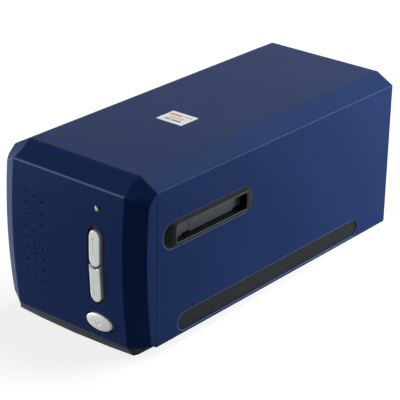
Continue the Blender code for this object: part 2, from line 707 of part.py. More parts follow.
def bezel_skin(mesh, inset):
    """One skin of the bezel. Returns its seam loop and its bottom loop, both from left to right."""
    seam_y = SEAM_Y - GAP
    lean = atan(CHEEK_RAKE / CHEEK_WIDTH)
    brow = atan(BROW_DROP / (seam_y - face_y(FACE_TOP)))
    side = HALF_WIDTH - inset
    half = FACE_HALF_WIDTH - inset * tan(lean / 2)
    cheek_in = inset * (1 / cos(lean) - tan(lean))
    top_in = inset * tan((pi / 2 - brow) / 2)
    outline = sleeve_outline(inset, BEZEL_BOTTOM)
    shoulder_x = outline[3][0]
    shoulder_z = outline[4][1]
    crown = BODY_HEIGHT - inset / cos(brow)

    def cheek(z):
        return face_y(z) + CHEEK_RAKE + cheek_in

    fronts = []
    sides = []
    for row in range(BEZEL_ROWS):
        share = row / (BEZEL_ROWS - 1)
        face_z = BEZEL_BOTTOM + share * (FACE_TOP - top_in - BEZEL_BOTTOM)
        side_z = BEZEL_BOTTOM + share * (CHEEK_TOP - CORNER_KNEE - BEZEL_BOTTOM)
        fronts.append((half, face_y(face_z) + inset, face_z))
        sides.append((side, cheek(side_z), side_z))
    corner = corner_line((sides[-1][1], CHEEK_TOP), (seam_y, shoulder_z))
    foot_y, foot_z = fronts[-1][1:]
    for share, y, z in corner:
        waist = BROW_WAIST * sin(pi * share)
        fronts.append((half + share * (shoulder_x - half) - waist,
                       foot_y + share * (seam_y - foot_y), foot_z + share * (crown - foot_z)))
        sides.append((side, y, z))

    loops = []
    for sign in (-1, 1):
        front = [mesh.verts.new((sign * x, y, z)) for x, y, z in fronts]
        edge = [mesh.verts.new((sign * x, y, z)) for x, y, z in sides]
        seam = [mesh.verts.new((sign * side, seam_y, z)) for _, _, z in sides[:BEZEL_ROWS]]
        for index in range(len(fronts) - 1):
            mesh.faces.new((front[index], edge[index], edge[index + 1]))
            mesh.faces.new((front[index], edge[index + 1], front[index + 1]))
        for index in range(BEZEL_ROWS - 1):
            mesh.faces.new((edge[index], seam[index], seam[index + 1], edge[index + 1]))
        for index in range(BEZEL_ROWS - 1, len(fronts) - 1):
            mesh.faces.new((seam[-1], edge[index], edge[index + 1]))
        loops.append((front, edge, seam))
    (left, left_edge, left_seam), (right, right_edge, right_seam) = loops
    for index in range(BEZEL_ROWS - 1):
        mesh.faces.new((left[index], right[index], right[index + 1], left[index + 1]))
    mesh.faces.new(left[BEZEL_ROWS - 1:][::-1] + right[BEZEL_ROWS - 1:])
    seam_loop = left_seam + [left_edge[-1], left[-1], right[-1], right_edge[-1]] + right_seam[::-1]
    bottom_loop = [left_seam[0], left_edge[0], left[0], right[0], right_edge[0], right_seam[0]]
    return seam_loop, bottom_loop


def bezel_shell():
    mesh = bmesh.new()
    outer_seam, outer_bottom = bezel_skin(mesh, 0)
    inner_seam, inner_bottom = bezel_skin(mesh, WALL)
    for outer, inner in ((outer_seam, inner_seam), (outer_bottom, inner_bottom)):
        for index in range(len(outer) - 1):
            mesh.faces.new((outer[index], outer[index + 1], inner[index + 1], inner[index]))
    return mesh


def dimples():
    """Shallow cones with a flat middle, all in one cutter."""
    mesh = bmesh.new()
    for column, count in enumerate(DIMPLE_COUNTS):
        x = DIMPLE_FIRST_X + column * DIMPLE_PITCH_X
        for row in range(count):
            z = DIMPLE_FIRST_Z - column * DIMPLE_COLUMN_DROP - row * DIMPLE_PITCH_Z
            surface = face_y(z)
            rings = []
            levels = ((DIMPLE_RADIUS, -DIMPLE_DEPTH), (DIMPLE_RADIUS, 0), (DIMPLE_RADIUS / 2, DIMPLE_DEPTH))
            for radius, depth in levels:
                outline = circle((x, z), radius, DIMPLE_SIDES)
                rings.append([place("Y", a, b, surface + depth) for a, b in outline])
            loft(rings, into=mesh)
    return mesh


def make_front_bezel(blue):
    bezel = piece("front_bezel", bezel_shell(), blue, smooth_angle=8)
    round_edges(bezel, EDGE_ROUND, angle=20)
    inner = WALL + GAP
    root = SEAM_Y - TONGUE_ROOT
    bottom = BEZEL_BOTTOM + GAP
    fuse(bezel, sleeve(TONGUE_ROOT_INSET, inner + TONGUE_WALL, bottom, root, SEAM_Y - 2 * EDGE_ROUND))
    fuse(bezel, sleeve(inner, inner + TONGUE_WALL, bottom + GAP, root + GAP, SEAM_Y + TONGUE_DEPTH))
    back = SURROUND_SEAT_Y + CUT_OVERRUN
    front = FACE_Y - CUT_OVERRUN
    surround = pill(
        (BUTTONS_X, CAP_SPLIT), CAP_WIDTH + 2 * SURROUND_MARGIN,
        CAP_STACK_HEIGHT + 2 * SURROUND_MARGIN, CAP_ARC_STEPS)
    cut(bezel, prism(surround, "Y", front, back))
    cut(bezel, prism(power_outline(GAP), "Y", front, POWER_FLANGE_Y + CUT_OVERRUN))
    cut(bezel, rod("Y", (LED_X, LED_Z), LED_HOLE_RADIUS, front, POWER_FLANGE_Y))
    cut(bezel, dimples())
    return bezel


# Buttons

def stacked_outlines():
    """The outlines of the two caps. The lower one's top is hollowed round the upper one."""
    radius = CAP_WIDTH / 2
    high = CAP_STACK_TOP - radius
    low = CAP_STACK_BOTTOM + radius
    seat = CAP_SPLIT + radius
    half_turn = [pi * step / CAP_ARC_STEPS for step in range(CAP_ARC_STEPS + 1)]
    upper = [(BUTTONS_X + radius * cos(a), high + radius * sin(a)) for a in half_turn]
    upper += [(BUTTONS_X - radius * cos(a), seat - radius * sin(a)) for a in half_turn]
    hollow = radius + CAP_PARTING
    lean = acos(radius / hollow)
    sweep = [lean + (pi - 2 * lean) * step / CAP_ARC_STEPS for step in range(CAP_ARC_STEPS + 1)]
    lower = [(BUTTONS_X - radius * cos(a), low - radius * sin(a)) for a in half_turn]
    lower += [(BUTTONS_X + hollow * cos(a), seat - hollow * sin(a)) for a in sweep]
    return upper, lower


def arrow(x, z, size, up):
    turn = pi / 2 if up else -pi / 2
    return circle((x, z), size, 3, turn)


def cap_plane(bottom, top):
    """The flat plane of a cap's front, which leans with the bulge behind it."""
    slope = (face_y(top) - face_y(bottom)) / (top - bottom)
    return lambda z: face_y(bottom) + slope * (z - bottom) - CAP_RAISE


def between(outline, front, back):
    """A solid along Y whose ends follow two functions of height."""
    return loft([[place("Y", a, b, end(b)) for a, b in outline] for end in (front, back)])


def make_scan_button(name, outline, bottom, top, points_up, silver):
    middle = (bottom + top) / 2
    front = cap_plane(bottom, top)
    mesh = between(outline, front, lambda z: CAP_FLANGE_Y)
    cap = piece(name, mesh, silver, origin=(BUTTONS_X, front(middle), middle))
    round_edges(cap, CAP_EDGE_ROUND, angle=40)
    half = CAP_WIDTH / 2 + CAP_FLANGE
    length = CAP_WIDTH / 2
    flange_end = CAP_FLANGE_Y + CAP_FLANGE_THICKNESS
    low = (BUTTONS_X - half, CAP_FLANGE_Y, middle - length)
    fuse(cap, block(low, (BUTTONS_X + half, flange_end, middle + length)))
    core = CAP_WIDTH / 2 - CAP_EDGE_ROUND
    low = (BUTTONS_X - core, CAP_FLANGE_Y - 2 * CAP_EDGE_ROUND, middle - length + GAP)
    fuse(cap, block(low, (BUTTONS_X + core, flange_end - GAP, middle + length - GAP)))
    stem_end = SWITCH_FRONT_Y - CAP_TRAVEL - GAP
    fuse(cap, rod("Y", (BUTTONS_X, middle), CAP_STEM_RADIUS, CAP_FLANGE_Y, stem_end))
    x = BUTTONS_X + CAP_GROOVE_X
    margin = CAP_GROOVE_MARGIN_SHARE * (top - bottom)
    base = bottom + margin
    tip = top - margin
    half = CAP_GROOVE_WIDTH / 2
    groove = [(x - half, base), (x + half, base), (x + half, tip), (x - half, tip)]
    mark = arrow(x, tip + CAP_ARROW if points_up else base - CAP_ARROW, CAP_ARROW, points_up)
    for shape in (groove, mark):
        cut(cap, between(shape, lambda z: front(z) - CUT_OVERRUN, lambda z: front(z) + CAP_GROOVE_DEPTH))
    return cap


def make_scan_buttons(silver):
    upper, lower = stacked_outlines()
    make_scan_button("upper_scan_button", upper, CAP_SPLIT, CAP_STACK_TOP, True, silver)
    make_scan_button("lower_scan_button", lower, CAP_STACK_BOTTOM, CAP_SPLIT - CAP_PARTING, False, silver)


def make_button_surround(black):
    """Insert behind the caps. Its front follows the bulge, and its flange sits behind the wall."""
    width = CAP_WIDTH + 2 * SURROUND_MARGIN
    height = CAP_STACK_HEIGHT + 2 * SURROUND_MARGIN
    seat = SURROUND_SEAT_Y
    back = seat + SURROUND_FLANGE_THICKNESS
    hole = 2 * GAP - 2 * SURROUND_MARGIN

    def front(z):
        return face_y(z) + SURROUND_SET_BACK

    levels = (
        (front, -2 * GAP), (lambda z: seat, -2 * GAP), (lambda z: seat, 2 * SURROUND_FLANGE),
        (lambda z: back, 2 * SURROUND_FLANGE), (lambda z: back, hole), (front, hole),
    )
    rings = [
        [place("Y", a, b, level(b)) for a, b in surround_outline(width + grow, height + grow)]
        for level, grow in levels
    ]
    return piece("button_surround", loft(rings, ring_shaped=True), black)


def surround_outline(width, height):
    """A pill with extra points along its straight sides, so that its front can follow the bulge."""
    points = pill((BUTTONS_X, CAP_SPLIT), width, height, CAP_ARC_STEPS)
    dense = []
    for first, second in zip(points, points[1:] + points[:1]):
        dense.append(first)
        if hypot(second[0] - first[0], second[1] - first[1]) > CAP_STACK_HEIGHT / 2:
            for step in range(1, SURROUND_SIDE_STEPS):
                share = step / SURROUND_SIDE_STEPS
                x, z = (a + share * (b - a) for a, b in zip(first, second))
                dense.append((x, z))
    return dense


def power_outline(margin, share=1.0):
    across = POWER_WIDTH / 2 + margin
    tall = POWER_HEIGHT / 2 + margin
    return [
        (POWER_X + share * across * cos(2 * pi * index / POWER_SEGMENTS),
         POWER_Z + share * tall * sin(2 * pi * index / POWER_SEGMENTS))
        for index in range(POWER_SEGMENTS)
    ]


def make_power_button(silver):
    rim = face_y(POWER_Z) - POWER_RAISE
    rings = [[place("Y", a, b, POWER_FLANGE_Y + GAP) for a, b in power_outline(0)]]
    for share in POWER_CROWN_SHARES:
        y = rim - POWER_CROWN * sqrt(1 - share ** 2)
        rings.append([place("Y", a, b, y) for a, b in power_outline(0, share)])
    middle = (POWER_X, rim, POWER_Z)
    button = piece("power_button", loft(rings), silver, origin=middle, smooth_angle=40)
    flange_end = POWER_FLANGE_Y + POWER_FLANGE_THICKNESS
    fuse(button, prism(power_outline(POWER_FLANGE), "Y", POWER_FLANGE_Y, flange_end))
    stem_end = SWITCH_FRONT_Y - POWER_TRAVEL - GAP
    fuse(button, rod("Y", (POWER_X, POWER_Z), POWER_STEM_RADIUS, POWER_FLANGE_Y + GAP, stem_end))
    crown = rim - POWER_CROWN
    inner = POWER_RING_RADIUS - POWER_RING_WIDTH
    rings = []
    for radius, y in (
        (POWER_RING_RADIUS, crown - CUT_OVERRUN), (POWER_RING_RADIUS, crown + POWER_MARK_DEPTH),
        (inner, crown + POWER_MARK_DEPTH), (inner, crown - CUT_OVERRUN),
    ):
        rings.append([place("Y", a, b, y) for a, b in circle((POWER_X, POWER_Z), radius, ROUND_SEGMENTS)])
    cut(button, loft(rings, ring_shaped=True))
    return button


def make_status_lens(green):
    front = face_y(LED_Z) + LED_SET_BACK
    flange = face_y(LED_Z + LED_LENS_RADIUS + LED_FLANGE) + WALL + GAP
    profile = (
        (LED_LENS_RADIUS / 2, front), (LED_LENS_RADIUS, front + LED_LENS_RADIUS / 3),
        (LED_LENS_RADIUS, flange), (LED_LENS_RADIUS + LED_FLANGE, flange),
        (LED_LENS_RADIUS + LED_FLANGE, flange + LED_FLANGE_THICKNESS),
        (LED_LENS_RADIUS, flange + LED_FLANGE_THICKNESS),
        (LED_LENS_RADIUS, BUTTON_BOARD_Y - LED_BULB_HEIGHT - GAP),
    )
    return piece("status_led_lens", turned("Y", (LED_X, LED_Z), profile, ROUND_SEGMENTS), green)


# Film slot frames, flaps, pins and springs

def mirrored(side, low, high):
    """A span along X on the right side, or its mirror image on the left."""
    return sorted((side * low, side * high))


def make_slot_bezel(name, side, dark):
    wide = FRAME_LENGTH + 2 * FRAME_LIP
    tall = FRAME_HEIGHT + 2 * FRAME_LIP
    seat = HALF_WIDTH - WALL - GAP
    levels = [
        (FRAME_INNER_X, 0, wide, tall, tall / 2), (seat, 0, wide, tall, tall / 2),
        (seat, 0, FRAME_LENGTH, FRAME_HEIGHT, FRAME_HEIGHT / 2),
    ]
    for step in range(FRAME_HUMP_STEPS + 1):
        share = step / FRAME_HUMP_STEPS
        height = FRAME_HEIGHT + share * (MOUTH_HEIGHT - FRAME_HEIGHT)
        length = FRAME_LENGTH + share * (MOUTH_LENGTH - FRAME_LENGTH)
        corner = FRAME_HEIGHT / 2 + share * (MOUTH_CORNER - FRAME_HEIGHT / 2)
        levels.append((HALF_WIDTH + FRAME_RAISE * sin(pi / 2 * share), share, length, height, corner))
    levels.append((FRAME_INNER_X, 1, MOUTH_LENGTH, MOUTH_HEIGHT, MOUTH_CORNER))
    rings = []
    for x, share, length, height, corner in levels:
        center = (FRAME_Y + share * FRAME_FORWARD, FRAME_Z + share * FRAME_DROP)
        outline = rounded(center, length, height, corner, FRAME_CORNER_STEPS)
        rings.append([place("X", a, b, side * x) for a, b in outline])
    frame = piece(name, loft(rings, ring_shaped=True), dark, smooth_angle=35)
    seat = MOUTH_LENGTH / 2 + FLAP_PIN_SEAT + GAP
    axis = (side * FLAP_AXIS_X, FLAP_AXIS_Z)
    cut(frame, rod("Y", axis, FLAP_PIN_RADIUS + GAP, SLOT_Y - seat, SLOT_Y + seat, SMALL_SEGMENTS))
    return frame


def make_flap(name, side, dark):
    barrel = FLAP_BARREL_RADIUS
    inner = FLAP_FACE_X - FLAP_THICKNESS - FLAP_AXIS_X
    bottom = MOUTH_BOTTOM + FLAP_CLEARANCE
    meet = -pi / 2 + atan2(inner, sqrt(barrel ** 2 - inner ** 2))
    sweep = [(2 * pi + meet) * step / FLAP_ARC_STEPS for step in range(FLAP_ARC_STEPS + 1)]
    outline = [(side * (FLAP_AXIS_X + inner), bottom), (side * FLAP_FACE_X, bottom)]
    outline += [(side * (FLAP_AXIS_X + barrel * cos(a)), FLAP_AXIS_Z + barrel * sin(a)) for a in sweep]
    axis = (side * FLAP_AXIS_X, SLOT_Y, FLAP_AXIS_Z)
    flap = piece(name, prism(outline, "Y", FLAP_FRONT_Y, FLAP_REAR_Y), dark, origin=axis)
    overrun = FLAP_REAR_Y + CUT_OVERRUN
    across = (side * FLAP_AXIS_X, FLAP_AXIS_Z)
    bore = FLAP_PIN_RADIUS + GAP
    cut(flap, rod("Y", across, bore, FLAP_FRONT_Y - CUT_OVERRUN, overrun, SMALL_SEGMENTS))
    wide = mirrored(side, FLAP_AXIS_X - barrel - CUT_OVERRUN, FLAP_FACE_X + CUT_OVERRUN)
    room = FLAP_REAR_Y - FLAP_SPRING_ROOM
    low = FLAP_AXIS_Z - barrel - GAP
    cut(flap, block((wide[0], room, low), (wide[1], overrun, MOUTH_TOP + CUT_OVERRUN)))
    groove_y = FLAP_FRONT_Y + FLAP_GROOVE_FROM_END
    grooved = mirrored(side, FLAP_FACE_X - FLAP_GROOVE_DEPTH, FLAP_FACE_X + CUT_OVERRUN)
    cut(flap, block(
        (grooved[0], groove_y - FLAP_GROOVE_WIDTH / 2, bottom - CUT_OVERRUN),
        (grooved[1], groove_y + FLAP_GROOVE_WIDTH / 2, FLAP_AXIS_Z)))
    rise = bottom + FLAP_NOTCH_RISE
    front_end = groove_y + FLAP_GROOVE_WIDTH / 2
    for start, end in ((front_end - FLAP_NOTCH_FRONT, front_end), (FLAP_REAR_Y - FLAP_NOTCH_REAR, overrun)):
        cut(flap, block((wide[0], start, bottom - CUT_OVERRUN), (wide[1], end, rise)))
    return flap


def make_flap_pin(name, side, steel):
    reach = MOUTH_LENGTH / 2 + FLAP_PIN_SEAT
    axis = (side * FLAP_AXIS_X, FLAP_AXIS_Z)
    pin = rod("Y", axis, FLAP_PIN_RADIUS, SLOT_Y - reach, SLOT_Y + reach, SMALL_SEGMENTS)
    return piece(name, pin, steel)


def tube_along(points, radius, sides):
    """A round wire along a row of points, with flat ends."""
    rings = []
    side_hint = Vector((0, 1, 0))
    for index, point in enumerate(points):
        before = points[max(index - 1, 0)]
        after = points[min(index + 1, len(points) - 1)]
        heading = (after - before).normalized()
        first = heading.cross(side_hint).normalized()
        second = heading.cross(first).normalized()
        rings.append([
            point + radius * (cos(2 * pi * step / sides) * first + sin(2 * pi * step / sides) * second)
            for step in range(sides)
        ])
    return loft(rings)


def make_flap_spring(name, side, steel):
    """Torsion spring round the pin. Its leg lies on the inner face of the flap."""
    start = FLAP_REAR_Y - FLAP_SPRING_ROOM + SPRING_WIRE / 2 + GAP
    length = FLAP_SPRING_ROOM - SPRING_WIRE - 2 * GAP
    count = SPRING_TURNS * SPRING_POINTS_PER_TURN
    points = []
    for index in range(count + 1):
        angle = 2 * pi * index / SPRING_POINTS_PER_TURN
        x = side * (FLAP_AXIS_X - SPRING_COIL_RADIUS * cos(angle))
        z = FLAP_AXIS_Z - SPRING_COIL_RADIUS * sin(angle)
        points.append(Vector((x, start + length * index / count, z)))
    leg_end = FLAP_AXIS_Z - FLAP_BARREL_RADIUS - SPRING_TURNS * SPRING_WIRE
    first = points[0]
    leg = [Vector((first.x, start, leg_end)), Vector((first.x, start, (leg_end + first.z) / 2))]
    spring = tube_along(leg + points, SPRING_WIRE / 2, SPRING_SIDES)
    return piece(name, spring, steel, origin=(side * FLAP_AXIS_X, SLOT_Y, FLAP_AXIS_Z), smooth_angle=80)


def make_side_strip(name, side, rubber):
    center = (STRIP_Y, STRIP_Z)
    inner = HALF_WIDTH - WALL - GAP
    levels = (
        (inner - STRIP_FLANGE_THICKNESS, 2 * STRIP_FLANGE), (inner, 2 * STRIP_FLANGE),
        (inner, -2 * GAP), (HALF_WIDTH - STRIP_SET_BACK, -2 * GAP),
    )
    rings = []
    for x, grow in levels:
        outline = pill(center, STRIP_LENGTH + grow, STRIP_HEIGHT + grow, STRIP_ARC_STEPS)
        rings.append([place("X", a, b, side * x) for a, b in outline])
    return piece(name, loft(rings), rubber)


# Base tray, feet, screws

def foot_places():
    fronts = (SEAM_Y + FOOT_FRONT_FROM_SEAM, BACK_Y - FOOT_REAR_FROM_BACK)
    for end, y in zip(("front", "rear"), fronts):
        for side_name, side in (("left", -1), ("right", 1)):
            yield f"foot_{end}_{side_name}", side * (HALF_WIDTH - FOOT_FROM_SIDE), y


def standoff_places():
    front = MAIN_BOARD_REAR_Y - MAIN_BOARD_LENGTH
    for side in (-1, 1):
        for y in (front + STANDOFF_INSET, MAIN_BOARD_REAR_Y - STANDOFF_INSET):
            yield side * (MAIN_BOARD_HALF_WIDTH - STANDOFF_INSET), y


def tray_outline(inset):
    """The tray's plan: a bowed front that turns into the sides round two corners."""
    side = TRAY_HALF_WIDTH - inset
    rear = PANEL_Y - PANEL_THICKNESS / 2 - inset
    hub_y = LIP_Y + LIP_RADIUS
    corner_x = TRAY_HALF_WIDTH - LIP_CORNER
    corner_y = hub_y - sqrt((LIP_RADIUS - LIP_CORNER) ** 2 - corner_x ** 2)
    meet = atan2(corner_y - hub_y, corner_x)
    bow = LIP_RADIUS - inset
    right = []
    for step in range(LIP_ARC_STEPS):
        angle = -pi / 2 + (meet + pi / 2) * step / LIP_ARC_STEPS
        right.append((bow * cos(angle), hub_y + bow * sin(angle)))
    turn = LIP_CORNER - inset
    for step in range(LIP_CORNER_STEPS + 1):
        angle = meet * (1 - step / LIP_CORNER_STEPS)
        right.append((corner_x + turn * cos(angle), corner_y + turn * sin(angle)))
    right.append((side, rear))
    return right + [(-x, y) for x, y in right[:0:-1]]


def make_base_tray(dark):
    lip_top = BEZEL_BOTTOM - GAP
    rear = PANEL_Y + CUT_OVERRUN
    levels = ((FOOT_HEIGHT, 0), (lip_top - LIP_BEVEL, 0), (lip_top, LIP_BEVEL))
    rings = [[place("Z", a, b, z) for a, b in tray_outline(inset)] for z, inset in levels]
    tray = piece("base_tray", loft(rings), dark)
    reach = HALF_WIDTH
    step_y = SEAM_Y - TONGUE_DEPTH - GAP
    cut(tray, block((-reach, step_y, TRAY_TOP), (reach, rear, lip_top + CUT_OVERRUN)))
    root = TRAY_TOP - TRAY_FLOOR / 2
    post_top = ROD_Z + ROD_POST_OVER
    half = ROD_POST_WIDTH / 2
    for side in (-1, 1):
        x = side * ROD_X
        for low, high in (
            (ROD_POST_FRONT_Y - ROD_POST_LENGTH, ROD_POST_FRONT_Y),
            (ROD_POST_REAR_Y, ROD_POST_REAR_Y + ROD_POST_LENGTH),
        ):
            fuse(tray, block((x - half, low, root), (x + half, high, post_top)))
        reach = (ROD_POST_FRONT_Y - ROD_SEAT - GAP, ROD_POST_REAR_Y + ROD_SEAT + GAP)
        cut(tray, rod("Y", (x, ROD_Z), ROD_RADIUS + GAP, *reach))
    for x, y in standoff_places():
        fuse(tray, rod("Z", (x, y), STANDOFF_RADIUS, root, MAIN_BOARD_Z - GAP, SMALL_SEGMENTS))
    through = TRAY_TOP + CUT_OVERRUN
    sink = FOOT_HEIGHT + SCREW_SINK
    holes = [(x, y, FOOT_STUD_RADIUS, through) for _, x, y in foot_places()]
    for x, y in screw_places():
        holes += [(x, y, SCREW_SHANK_RADIUS, through), (x, y, SCREW_HEAD_RADIUS, sink)]
    for x, y, radius, top in holes:
        cut(tray, rod("Z", (x, y), radius + GAP, FOOT_HEIGHT - CUT_OVERRUN, top, SMALL_SEGMENTS))
    return tray


def make_feet(rubber):
    top = FOOT_HEIGHT - GAP
    for name, x, y in foot_places():
        profile = (
            (FOOT_RADIUS - FOOT_TAPER, 0), (FOOT_RADIUS, FOOT_TAPER), (FOOT_RADIUS, top),
            (FOOT_STUD_RADIUS, top), (FOOT_STUD_RADIUS, TRAY_TOP),
        )
        piece(name, turned("Z", (x, y), profile, FOOT_SEGMENTS), rubber)


def make_screw(name, x, y, seat, up, sizes, steel):
    """A pan-head screw. Its head seats at the given height, and up is 1 where the shank rises."""
    head_radius, head, shank_radius, length = sizes
    profile = (
        (head_radius * SCREW_CROWN_SHARE, seat - up * head), (head_radius, seat - up * head / 2),
        (head_radius, seat),
        (shank_radius, seat), (shank_radius, seat + up * length),
    )
    screw = piece(name, turned("Z", (x, y), profile, SCREW_SEGMENTS), steel)
    crown = seat - up * head
    depth = sorted((crown - up * CUT_OVERRUN, crown + up * SCREW_SLOT_DEPTH))
    half = SCREW_SLOT_WIDTH / 2
    cut(screw, block((x - head_radius, y - half, depth[0]), (x + head_radius, y + half, depth[1])))
    return screw


def make_tray_screws(steel):
    sizes = (SCREW_HEAD_RADIUS, SCREW_HEAD_HEIGHT, SCREW_SHANK_RADIUS, SCREW_LENGTH)
    for number, (x, y) in enumerate(screw_places(), start=1):
        make_screw(f"tray_screw_{number}", x, y, FOOT_HEIGHT + SCREW_SINK - GAP, 1, sizes, steel)


# Rear panel

def make_rear_panel(dark):
    outline = sleeve_outline(WALL + GAP, TRAY_TOP + GAP)
    panel = piece("rear_panel", prism(outline, "Y", PANEL_Y - PANEL_THICKNESS, PANEL_Y), dark)
    round_edges(panel, EDGE_ROUND / 2, segments=1)
    rib = PANEL_RIB_INSET
    rib_low = TRAY_TOP + GAP + USB_HEIGHT + MAIN_BOARD_LIFT + rib
    frame = sleeve_outline(rib, rib_low) + sleeve_outline(rib + PANEL_RIB_WALL, rib_low)[::-1]
    inner = PANEL_Y - PANEL_THICKNESS
    fuse(panel, prism(frame, "Y", inner - PANEL_RIB_DEPTH, inner + GAP))
    front = inner - CUT_OVERRUN
    back = PANEL_Y + CUT_OVERRUN
    for number in range(VENT_COUNT):
        x = (number - (VENT_COUNT - 1) / 2) * VENT_PITCH
        vent = pill((x, VENT_Z), VENT_WIDTH, VENT_HEIGHT, VENT_ARC_STEPS)
        cut(panel, prism(vent, "Y", front, back))
    for x, width, height in ((USB_X, USB_WIDTH, USB_HEIGHT), (INLET_X, INLET_WIDTH, INLET_HEIGHT)):
        half = width / 2 + GAP
        cut(panel, block((x - half, front, SOCKET_Z - GAP), (x + half, back, SOCKET_Z + height + GAP)))
    return panel


# Film stage and lamp

def make_film_stage(black):
    half = STAGE_HALF_WIDTH
    low = (-half, STAGE_FRONT_Y, STAGE_BOTTOM)
    high = (half, STAGE_REAR_Y, CHANNEL_Z)
    stage = piece("film_stage", block(low, high), black)
    leg_bottom = TRAY_TOP + GAP
    root = CHANNEL_Z - STAGE_PLATE / 2
    for side in (-1, 1):
        span = mirrored(side, half - STAGE_LEG_INSET - STAGE_LEG, half - STAGE_LEG_INSET)
        for start in (STAGE_FRONT_Y, STAGE_REAR_Y - STAGE_LEG):
            fuse(stage, block((span[0], start, leg_bottom), (span[1], start + STAGE_LEG, root)))
    rail_top = CHANNEL_Z + STAGE_RAIL_HEIGHT
    for face, away in ((SLOT_Y - MOUTH_LENGTH / 2, -1), (SLOT_Y + MOUTH_LENGTH / 2, 1)):
        outer = face + away * STAGE_RAIL_WALL
        flare = STAGE_RAIL_FLARE
        outline = [
            (-half, outer), (half, outer), (half, face + away * STAGE_RAIL_WALL / 2),
            (half - flare, face), (flare - half, face), (-half, face + away * STAGE_RAIL_WALL / 2),
        ]
        fuse(stage, prism(outline, "Z", root, rail_top))
    window = []
    levels = (
        (STAGE_BOTTOM - CUT_OVERRUN, 2 * WINDOW_BEVEL), (STAGE_BOTTOM, 2 * WINDOW_BEVEL),
        (CHANNEL_Z, 0), (CHANNEL_Z + CUT_OVERRUN, 0),
    )
    for z, grow in levels:
        outline = rounded(
            (0, SLOT_Y), WINDOW_WIDTH + grow, WINDOW_DEPTH + grow, WINDOW_BEVEL, WINDOW_ARC_STEPS)
        window.append([place("Z", a, b, z) for a, b in outline])
    cut(stage, loft(window))
    reach = DETENT_LENGTH / 2 + DETENT_WINDOW_MARGIN
    rear = SLOT_Y + MOUTH_LENGTH / 2
    cut(stage, block(
        (-reach, rear - CUT_OVERRUN, CHANNEL_Z + DETENT_WINDOW_MARGIN),
        (reach, rear + STAGE_RAIL_WALL + CUT_OVERRUN, rail_top + CUT_OVERRUN)))
    return stage


def make_detent_spring(steel):
    """A leaf behind the rear rail. Its bump reaches into the channel and holds a frame in place."""
    half = DETENT_LENGTH / 2
    bump = DETENT_LENGTH * DETENT_BUMP_SHARE / 2
    base = SLOT_Y + MOUTH_LENGTH / 2 + GAP
    tip = SLOT_Y + MOUTH_LENGTH / 2 - DETENT_BUMP
    thick = DETENT_THICKNESS
    line = [(-half, base), (-bump, base), (0, tip), (bump, base), (half, base)]
    outline = line + [(x, y + thick) for x, y in line[::-1]]
    bottom = CHANNEL_Z + DETENT_WINDOW_MARGIN + GAP
    return piece("film_detent_spring", prism(outline, "Z", bottom, bottom + DETENT_HEIGHT), steel)


def make_lamp_housing(black):
    half = LAMP_HALF_WIDTH
    deep = LAMP_BOX_DEPTH / 2
    top = LAMP_BOTTOM + LAMP_BOX_HEIGHT
    box = block((-half, SLOT_Y - deep, LAMP_BOTTOM), (half, SLOT_Y + deep, top))
    housing = piece("lamp_housing", box, black)
    leg = LAMP_LEG_WIDTH / 2
    reach = MOUTH_LENGTH / 2 + STAGE_RAIL_WALL + GAP
    outer = reach + LAMP_BRIDGE
    for away in (-1, 1):
        near = sorted((SLOT_Y + away * (deep - LAMP_WALL), SLOT_Y + away * outer))
        fuse(housing, block((-leg, near[0], LAMP_BOTTOM), (leg, near[1], LAMP_BOTTOM + LAMP_BRIDGE)))
        far = sorted((SLOT_Y + away * reach, SLOT_Y + away * outer))
        fuse(housing, block((-leg, far[0], CHANNEL_Z + GAP), (leg, far[1], LAMP_BOTTOM + LAMP_BRIDGE / 2)))
    inner = LAMP_WALL
    cut(housing, block(
        (inner - half, SLOT_Y - deep + inner, LAMP_BOTTOM - CUT_OVERRUN),
        (half - inner, SLOT_Y + deep - inner, top - inner)))
    return housing


def make_diffuser(white):
    half = LAMP_HALF_WIDTH - LAMP_WALL - GAP
    deep = LAMP_BOX_DEPTH / 2 - LAMP_WALL - GAP
    low = LAMP_BOTTOM + DIFFUSER_LEDGE
    sheet = block((-half, SLOT_Y - deep, low), (half, SLOT_Y + deep, low + DIFFUSER_THICKNESS))
    return piece("diffuser", sheet, white)


def make_lamp_tube(white):
    deep = LAMP_BOX_DEPTH / 2 - LAMP_WALL - GAP
    z = LAMP_BOTTOM + LAMP_BOX_HEIGHT - LAMP_WALL - LAMP_TUBE_CAP_RADIUS - GAP
    cap = LAMP_TUBE_CAP
    profile = (
        (LAMP_TUBE_CAP_RADIUS, SLOT_Y - deep), (LAMP_TUBE_CAP_RADIUS, SLOT_Y - deep + cap),
        (LAMP_TUBE_RADIUS, SLOT_Y - deep + cap), (LAMP_TUBE_RADIUS, SLOT_Y + deep - cap),
        (LAMP_TUBE_CAP_RADIUS, SLOT_Y + deep - cap), (LAMP_TUBE_CAP_RADIUS, SLOT_Y + deep),
    )
    return piece("lamp_tube", turned("Y", (0, z), profile, SMALL_SEGMENTS), white)


def make_inverter_board(green):
    """Board that feeds the lamp, on two bosses of the housing's right wall."""
    y = INVERTER_Y
    x = STAGE_HALF_WIDTH
    low = CHANNEL_Z
    sheet = block((x - INVERTER_THICKNESS, y, low), (x, y + INVERTER_DEPTH, low + INVERTER_WIDTH))
    board = piece("inverter_board", sheet, green)
    coil_y = y + INVERTER_DEPTH / 2
    coil_z = low + INVERTER_COIL_WIDTH / 2
    fuse(board, block(
        (x - INVERTER_THICKNESS - INVERTER_COIL_HEIGHT, coil_y, coil_z),
        (x - INVERTER_THICKNESS / 2, coil_y + INVERTER_COIL_DEPTH, coil_z + INVERTER_COIL_WIDTH)))
    return board


# Scan carriage and optics

def bearing_places():
    for side in (-1, 1):
        yield side, CARRIAGE_FRONT_Y + BEARING_FROM_FRONT
        yield side, CARRIAGE_REAR_Y - BEARING_FROM_REAR - BEARING_LENGTH


